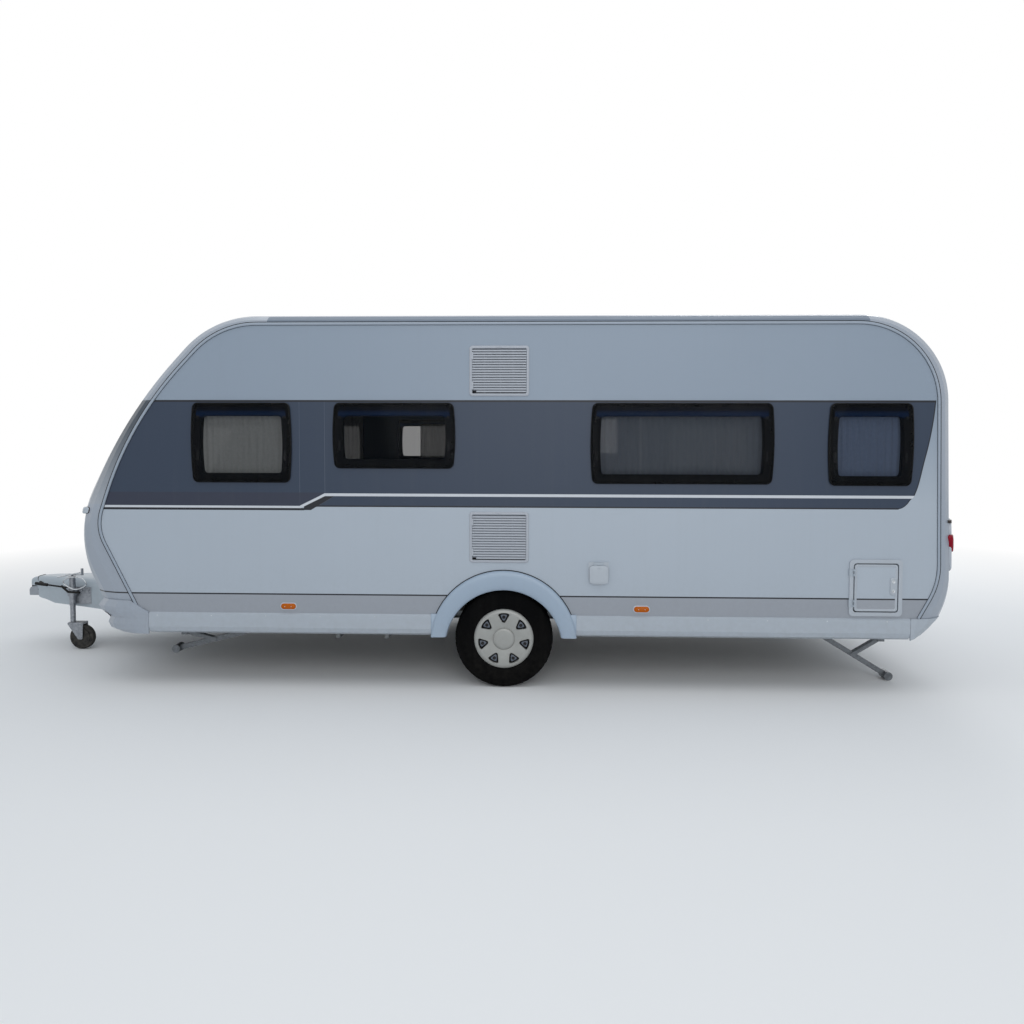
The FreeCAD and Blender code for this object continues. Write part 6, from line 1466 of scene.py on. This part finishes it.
def door_seal():
    """Dark rubber in the gap round the door."""
    low, high = box_of("entrance_door")
    middle = (low + high) / 2
    width, height = high.x - low.x, high.z - low.z
    made = Builder()
    made.rings([upright(rounded_outline(width + 2 * grow, height + 2 * grow, 0.055 + grow, 8, 10),
                        middle.x, high.y + out, middle.z)
                for grow, out in ((0.0072, 0.0), (0.0072, 0.0012), (0.0135, 0.0022), (0.0135, 0.0003))], 0, loop=True)
    made.make("door_seal", RUBBER, "caravan", slot="window_rim")


# ---------------------------------------------------------------- nose, drawbar and skirts
def make_screen_with_painted_reflection():
    """Front acrylic, dark at its head and paler towards its foot; the pale, streaked foot is a painted reflection."""
    made, tree, shader = new_material("front acrylic with painted reflection", ior=1.49, shine=0.06)
    place, parts = on_part(tree)
    # painted reflection: the pane fades to pale, streaked, towards its foot
    fade = streaked_fade(tree, place, (18.0, 18.0, 0.8), 0.5, above(tree, parts["Z"], 1.56, 0.24))
    tone = mix_colour(tree, fade, srgb(128, 136, 144), srgb(38, 48, 58))
    worn = place_group(tree, SOILING, Colour=tone, Dust=0.1, Unevenness=0.05, Roughness=0.08)
    feed(tree, shader, Base_Color=worn["Colour"], Roughness=0.08, Alpha=0.82)
    made.surface_render_method = "BLENDED"
    return made


SCREEN_WITH_PAINTED_REFLECTION = make_screen_with_painted_reflection()


def front_window():
    """Wide front window: dark surround, bowed acrylic and two catches."""
    low, high = box_of("front_window")
    centre_z, width, height = (low.z + high.z) / 2, high.y - low.y, high.z - low.z

    def outline(inset):
        return placed(rounded_outline(width - 2 * inset, height - 2 * inset, max(0.075 - inset, 0.02), 8, 14),
                      0.0, centre_z)
    made = Builder()
    levels = ((0.004, -0.006), (0.001, 0.001), (0.003, 0.0045), (0.010, 0.0055), (0.024, 0.003), (0.045, -0.0005),
              (0.078, -0.0015), (0.082, -0.006), (0.084, -0.034))
    made.rings(conform([outline(d) for d, _ in levels], [h for _, h in levels], FRONT_GLASS), 0)
    for y in (-0.62, 0.62):
        hit, normal = FRONT_GLASS(y, low.z + 0.034)
        made.bar(hit - normal * 0.002, hit + normal * 0.009, 0.014, 1, 20, 0.85)
    made.make("front_surround", [RIM_GLOSS, LATCH], "caravan", slot="window_rim")
    pane = Builder()
    levels = ((0.006, 0.0055), (0.014, 0.0075), (0.03, 0.008), (0.05, 0.0115), (0.075, 0.0145), (0.10, 0.0155),
              (0.16, 0.016), (0.24, 0.0162), (0.30, 0.0163))
    pane.rings(conform([outline(d) for d, _ in levels], [h for _, h in levels], FRONT_GLASS), 0, False, True)
    pane.make("front_pane", SCREEN_WITH_PAINTED_REFLECTION, "caravan", replaced=("front_window",), slot="window_acrylic", smooth=80.0)


def lid_fittings():
    """Two locks and the pull of the front locker lid."""
    low, _ = box_of("locker_lid")
    made = Builder()
    for y in (-0.52, 0.52):
        hit, normal = FRONT(y, low.z + 0.075)
        made.bar(hit - normal * 0.001, hit + normal * 0.006, 0.024, 0, 28, 0.9)
        made.bar(hit + normal * 0.006, hit + normal * 0.012, 0.016, 1, 24, 0.8)
        made.bar(hit + normal * 0.012, hit + normal * 0.0145, 0.006, 2, 16)
    made.laid(placed(rounded_outline(0.44, 0.034, 0.015, 6, 10), 0.0, low.z + 0.055),
              ((1.0, 0.0004), (1.0, 0.007), (0.94, 0.012), (0.8, 0.0145), (0.4, 0.015)), FRONT)
    made.make("lid_fittings", [FINISH["fitting_white"], FINISH["handle_black"], CHROME], "locker_lid_body",
              slot="shell_moulding")


def rear_plate():
    """Blank number plate with its lamps, and two reflectors."""
    made = Builder()
    made.laid(placed(rounded_outline(0.52, 0.112, 0.008, 4, 10), 0.0, 0.735),
              ((1.0, 0.0005), (1.0, 0.005), (0.985, 0.0065), (0.97, 0.006), (0.5, 0.006)), REAR)
    for y in (-0.16, 0.16):
        made.laid(placed(rounded_outline(0.07, 0.028, 0.010, 4, 3), y, 0.815),
                  ((1.0, 0.0005), (1.0, 0.009), (0.9, 0.013), (0.6, 0.014)), REAR, 1)
    for y in (-0.72, 0.72):
        made.laid(smoothed([(y - 0.065, 0.60), (y + 0.065, 0.60), (y, 0.71)], 4, 0.1),
                  ((1.0, 0.0005), (1.0, 0.006), (0.93, 0.0085), (0.4, 0.009)), REAR, 2)
    made.make("rear_plate", [FINISH["fitting_white"], FINISH["handle_black"], RED_LENS], "caravan",
              slot="lamp_housing")


# drawbar cover: how far behind the coupling's tip, half its width, the height of its foot and of its top
COVER = (
    (0.001, 0.010, 0.500, 0.518), (0.006, 0.024, 0.491, 0.532), (0.018, 0.034, 0.487, 0.545),
    (0.040, 0.040, 0.486, 0.556), (0.070, 0.046, 0.486, 0.562), (0.083, 0.054, 0.450, 0.565),
    (0.097, 0.066, 0.396, 0.567), (0.125, 0.0765, 0.388, 0.569), (0.175, 0.092, 0.380, 0.571),
    (0.262, 0.1103, 0.352, 0.571), (0.350, 0.1325, 0.3478, 0.572), (0.450, 0.1545, 0.343, 0.572),
    (0.520, 0.1727, 0.3396, 0.572), (0.605, 0.1948, 0.3356, 0.572), (0.680, 0.2192, 0.332, 0.572),
    (0.950, 0.2896, 0.319, 0.572), (1.165, 0.3457, 0.3087, 0.572))
# its section, as shares of the half width and of the height
COVER_SECTION = ((1.0, 0.0), (1.0, 0.45), (0.99, 0.72), (0.965, 0.86), (0.90, 0.945), (0.80, 0.985), (0.5, 1.0),
                 (0.0, 1.0))
COVER_WALL = 0.004
RING_Y = -0.300          # plane of the winding ring


def drawbar_dress():
    """Moulded drawbar cover with rolled edges, a grip pad, and the winding ring with its strap."""
    _, high = box_of("drawbar_cover")
    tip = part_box("coupling_head")[0][0]
    made = Builder()
    rings = []
    for far, half, foot, top in COVER:
        x = min(tip + far, high.x)
        ring = [Vector((x, -half * share, foot + (top - foot) * level)) for share, level in COVER_SECTION]
        ring += [Vector((p.x, -p.y, p.z)) for p in reversed(ring[:-1])]
        ring += [Vector((p.x, math.copysign(max(abs(p.y) - COVER_WALL, 0.0), p.y),
                         p.z - (COVER_WALL if p.z > foot + 0.001 else 0.0))) for p in reversed(ring)]
        rings.append(ring)
    made.rings(rings, 0, True, True)
    line = [Vector((p.x + 0.018 * (0.5 - abs(p.z - 0.49) / 0.16), p.y * 1.01, p.z)) for p in rings[5][:15]]
    made.pipe(line, 0.0042, 1, 8)
    made.pipe([Vector((tip + u, -w, v)) for u, w, v in
               ((0.112, 0.071, 0.523), (0.128, 0.078, 0.519), (0.150, 0.085, 0.511))], 0.0085, 1, 10)
    made.make("drawbar_cover_shell", [FINISH["drawbar_moulding"], RUBBER], "caravan", replaced=("drawbar_cover",),
              slot="drawbar_moulding")
    ring = Builder()
    corners = ((0.444, 0.560), (0.506, 0.606), (0.620, 0.604), (0.666, 0.540), (0.556, 0.492))
    loop = smoothed([(tip + u, v) for u, v in corners], 6, 0.42)
    ring.pipe([Vector((x, RING_Y, z)) for x, z in loop], 0.0052, 0, 10, True)
    ring.pipe([Vector((tip + u, RING_Y + w, v))
               for u, w, v in ((0.410, 0.004, 0.602), (0.500, 0.012, 0.622), (0.595, 0.012, 0.640))], 0.006, 0, 10)
    ring.pipe([Vector((tip + u, RING_Y + 0.016, v)) for u, v in ((0.434, 0.530), (0.490, 0.480), (0.586, 0.476))],
              0.009, 1, 10)
    ring.make("winding_ring", [CHROME, RUBBER], "caravan", slot="jockey_steel")


AXIS_Z = 0.452           # height of the overrun shaft


def coupling_dress():
    """Ribbed bellows behind the coupling, and bolts through the coupling."""
    low, _ = box_of("coupling_head")
    made = Builder()
    rings = []
    for k in range(13):
        x = low.x + 0.285 + k * 0.010
        rings.append([Vector((x, u, AXIS_Z + v)) for u, v in circle(0.036 if k % 2 else 0.029)])
    made.rings(rings, 0, True, True)
    for x in (low.x + 0.165, low.x + 0.225):
        for y0, y1, radius, sides in ((-0.052, 0.052, 0.0065, 12), (-0.0555, -0.0485, 0.0105, 6),
                                      (0.0485, 0.0555, 0.0105, 6)):
            made.bar((x, y0, AXIS_Z), (x, y1, AXIS_Z), radius, 1, sides)
    made.make("coupling_bellows", [RUBBER, FINISH["jockey_steel"]], "caravan", slot="coupling_cast")


def skirt_screws():
    """Rows of screws along the skirts."""
    for name, side in SIDES:
        places = [SKIRTS((x, side * 1.4, 0.500), (0.0, -side, 0.0))[0]
                  for x in (-1.90, -1.52, -1.14, -0.76, -0.38, 1.9, 2.3, 2.7, 3.1)]
        made = Builder()
        screws(made, places, (0.0, side, 0.0), 0.0045, 0)
        made.make("skirt_screws_" + name, CHROME, "caravan", slot="skirt_sheet")


def bumper_recess_shade():
    """Dark patches laid on the corners of the front bumper: painted shade of the recesses there."""
    made = Builder()
    for side in (-1, 1):
        corners = [(side * 1.075, 0.505), (side * 0.86, 0.505), (side * 0.88, 0.452), (side * 1.055, 0.452)]
        made.laid(smoothed(corners, 4, 0.25), ((1.0, 0.0005), (1.0, 0.0025), (0.97, 0.003), (0.93, 0.0012)), BUMPER)
    made.make("bumper_recess_shade", PAINTED_RECESS_SHADE, "caravan", slot="vent_plastic")


FRONT_WIDTH = 0.45       # a cabinet's fronts come as near this width as its length allows


def cabinet_fronts():
    """Raised door fronts and pulls on the cabinets."""
    made = Builder()
    for low, high in solid_boxes("cabinets"):
        size = high - low
        way = -1 if (low.y + high.y) / 2 > 0 else 1
        face = low.y if way < 0 else high.y
        if size.x < 0.3 or size.y < 0.2 or size.z < 0.25 or abs(face) > 0.9:
            continue
        count = max(1, round(size.x / FRONT_WIDTH))
        wide = size.x / count
        y0, y1 = sorted((face + way * 0.0005, face + way * 0.014))
        foot, grip = face + way * 0.013, face + way * 0.030
        z = high.z - 0.12 if low.z < 1.2 else low.z + 0.10
        for k in range(count):
            x0, x1 = low.x + wide * k + 0.012, low.x + wide * (k + 1) - 0.012
            made.slab((x0, y0, low.z + 0.03), (x1, y1, high.z - 0.03), 0, 0.003)
            made.pipe([Vector((x1 - back, y, z)) for back, y in
                       ((0.05, foot), (0.05, grip), (0.16, grip), (0.16, foot))], 0.005, 1, 8)
    made.make("cabinet_fronts", [FINISH["cabinet_wood"], CHROME], "caravan", slot="cabinet_wood")


wall_windows()
tail_lamps()
high_brake_lamp()
side_markers()
front_markers()
vents()
arches()
rails()
for wheel_name, wheel_side in SIDES:
    hubcap(wheel_name, wheel_side)
    wheel_bolts(wheel_name, wheel_side)
leaf("service_leaf", "service_hatch", "service_hatch", -1, 0.018, 0.012,
     [FINISH["fitting_white"], HATCH_PAINT, CHROME, PAINTED_RECESS_SHADE], hatch_locks)
inlet_cover()
door()
door_seal()
front_window()
lid_fittings()
rear_plate()
drawbar_dress()
coupling_dress()
skirt_screws()
bumper_recess_shade()
cabinet_fronts()
tyre("road_tyre_left", "tyre_left", "wheel_left", "y")
tyre("road_tyre_right", "tyre_right", "wheel_right", "y")
tyre("spare_road_tyre", "spare_tyre", "caravan", "z")
curtains()
cushions()


# ---------------------------------------------------------------- floor, light and camera
def studio():
    """Pale floor, a white surround and soft lamps."""
    bpy.ops.mesh.primitive_plane_add(size=60.0, location=(0.7, 0.0, -0.001))
    floor = bpy.context.object
    floor.name = "studio_floor"
    made, tree, shader = new_material("studio floor")
    feed(tree, shader, Base_Color=(0.86, 0.86, 0.86, 1), Roughness=0.9)
    place = add_node(tree, "ShaderNodeTexCoord").outputs["Object"]
    reach = add_node(tree, "ShaderNodeVectorMath", {"operation": "LENGTH"}, i0=place).outputs["Value"]
    fade = add_node(tree, "ShaderNodeMapRange", i0=reach, i1=5.0, i2=10.0).outputs[0]
    seen = tree.nodes.new("ShaderNodeLightPath").outputs["Is Camera Ray"]
    glow = add_node(tree, "ShaderNodeEmission", Color=(1, 1, 1, 1), Strength=1.0).outputs[0]
    blend = add_node(tree, "ShaderNodeMixShader", i0=product(tree, fade, seen), i1=shader.outputs[0], i2=glow)
    tree.links.new(blend.outputs[0], tree.nodes["Material Output"].inputs["Surface"])
    floor.data.materials.append(made)

    world = bpy.data.worlds.new("studio")
    bpy.context.scene.world = world
    world.use_nodes = True
    tree = world.node_tree
    back = tree.nodes["Background"]
    rays = tree.nodes.new("ShaderNodeLightPath").outputs
    shown = math_of(tree, "MAXIMUM", rays["Is Camera Ray"], rays["Is Glossy Ray"])
    shown = math_of(tree, "MAXIMUM", shown, rays["Is Transmission Ray"])
    tree.links.new(mix_colour(tree, shown, (0.86, 0.93, 1.0, 1), (1, 1, 1, 1)), back.inputs["Color"])
    tree.links.new(math_of(tree, "MULTIPLY_ADD", shown, 0.42, 0.58), back.inputs["Strength"])

    for name, place, target, size, power in (
            ("lamp_above", (0.5, -1.0, 7.5), (0.5, 0.0, 1.0), 8.0, 170.0),
            ("lamp_front", (1.5, -11.0, 4.5), (0.7, 0.0, 1.3), 8.0, 330.0),
            ("lamp_behind", (5.0, 8.0, 5.0), (0.0, 0.0, 1.3), 5.0, 240.0)):
        data = bpy.data.lights.new(name, "AREA")
        data.size = size
        data.energy = power
        lamp = bpy.data.objects.new(name, data)
        bpy.context.scene.collection.objects.link(lamp)
        lamp.location = place
        lamp.rotation_euler = (Vector(target) - Vector(place)).to_track_quat("-Z", "Y").to_euler()


CAMERA_PLACE = Vector((0.7105, -6.150, 1.660))
FOCAL, FRAME_SIZE, AXIS_ROW = 735.0, 1024.0, 481.0      # in one unit: focal length, frame size, row of the lens axis
YAW = math.atan(FOCAL / 25000.0)
PITCH = math.radians(2.5)
ROLL = math.radians(0.15)


def add_camera():
    """The camera, from its place, its shift and its three turns."""
    data = bpy.data.cameras.new("camera")
    data.sensor_width = 36.0
    data.lens = FOCAL / FRAME_SIZE * data.sensor_width
    data.shift_y = (AXIS_ROW - FRAME_SIZE / 2) / FRAME_SIZE
    camera = bpy.data.objects.new("camera", data)
    bpy.context.scene.collection.objects.link(camera)
    bpy.context.scene.camera = camera
    ahead = Vector((-math.sin(YAW), math.cos(YAW), 0.0))
    right = Vector((math.cos(YAW), math.sin(YAW), 0.0))
    up = Vector((0.0, 0.0, 1.0))
    forward = ahead * math.cos(PITCH) - up * math.sin(PITCH)
    over = up * math.cos(PITCH) + ahead * math.sin(PITCH)
    across = right * math.cos(ROLL) + over * math.sin(ROLL)
    over = over * math.cos(ROLL) - right * math.sin(ROLL)
    turn = Matrix((across, over, -forward)).transposed().to_4x4()
    camera.matrix_world = Matrix.Translation(CAMERA_PLACE) @ turn


studio()
add_camera()
bpy.context.scene.view_settings.view_transform = "Standard"
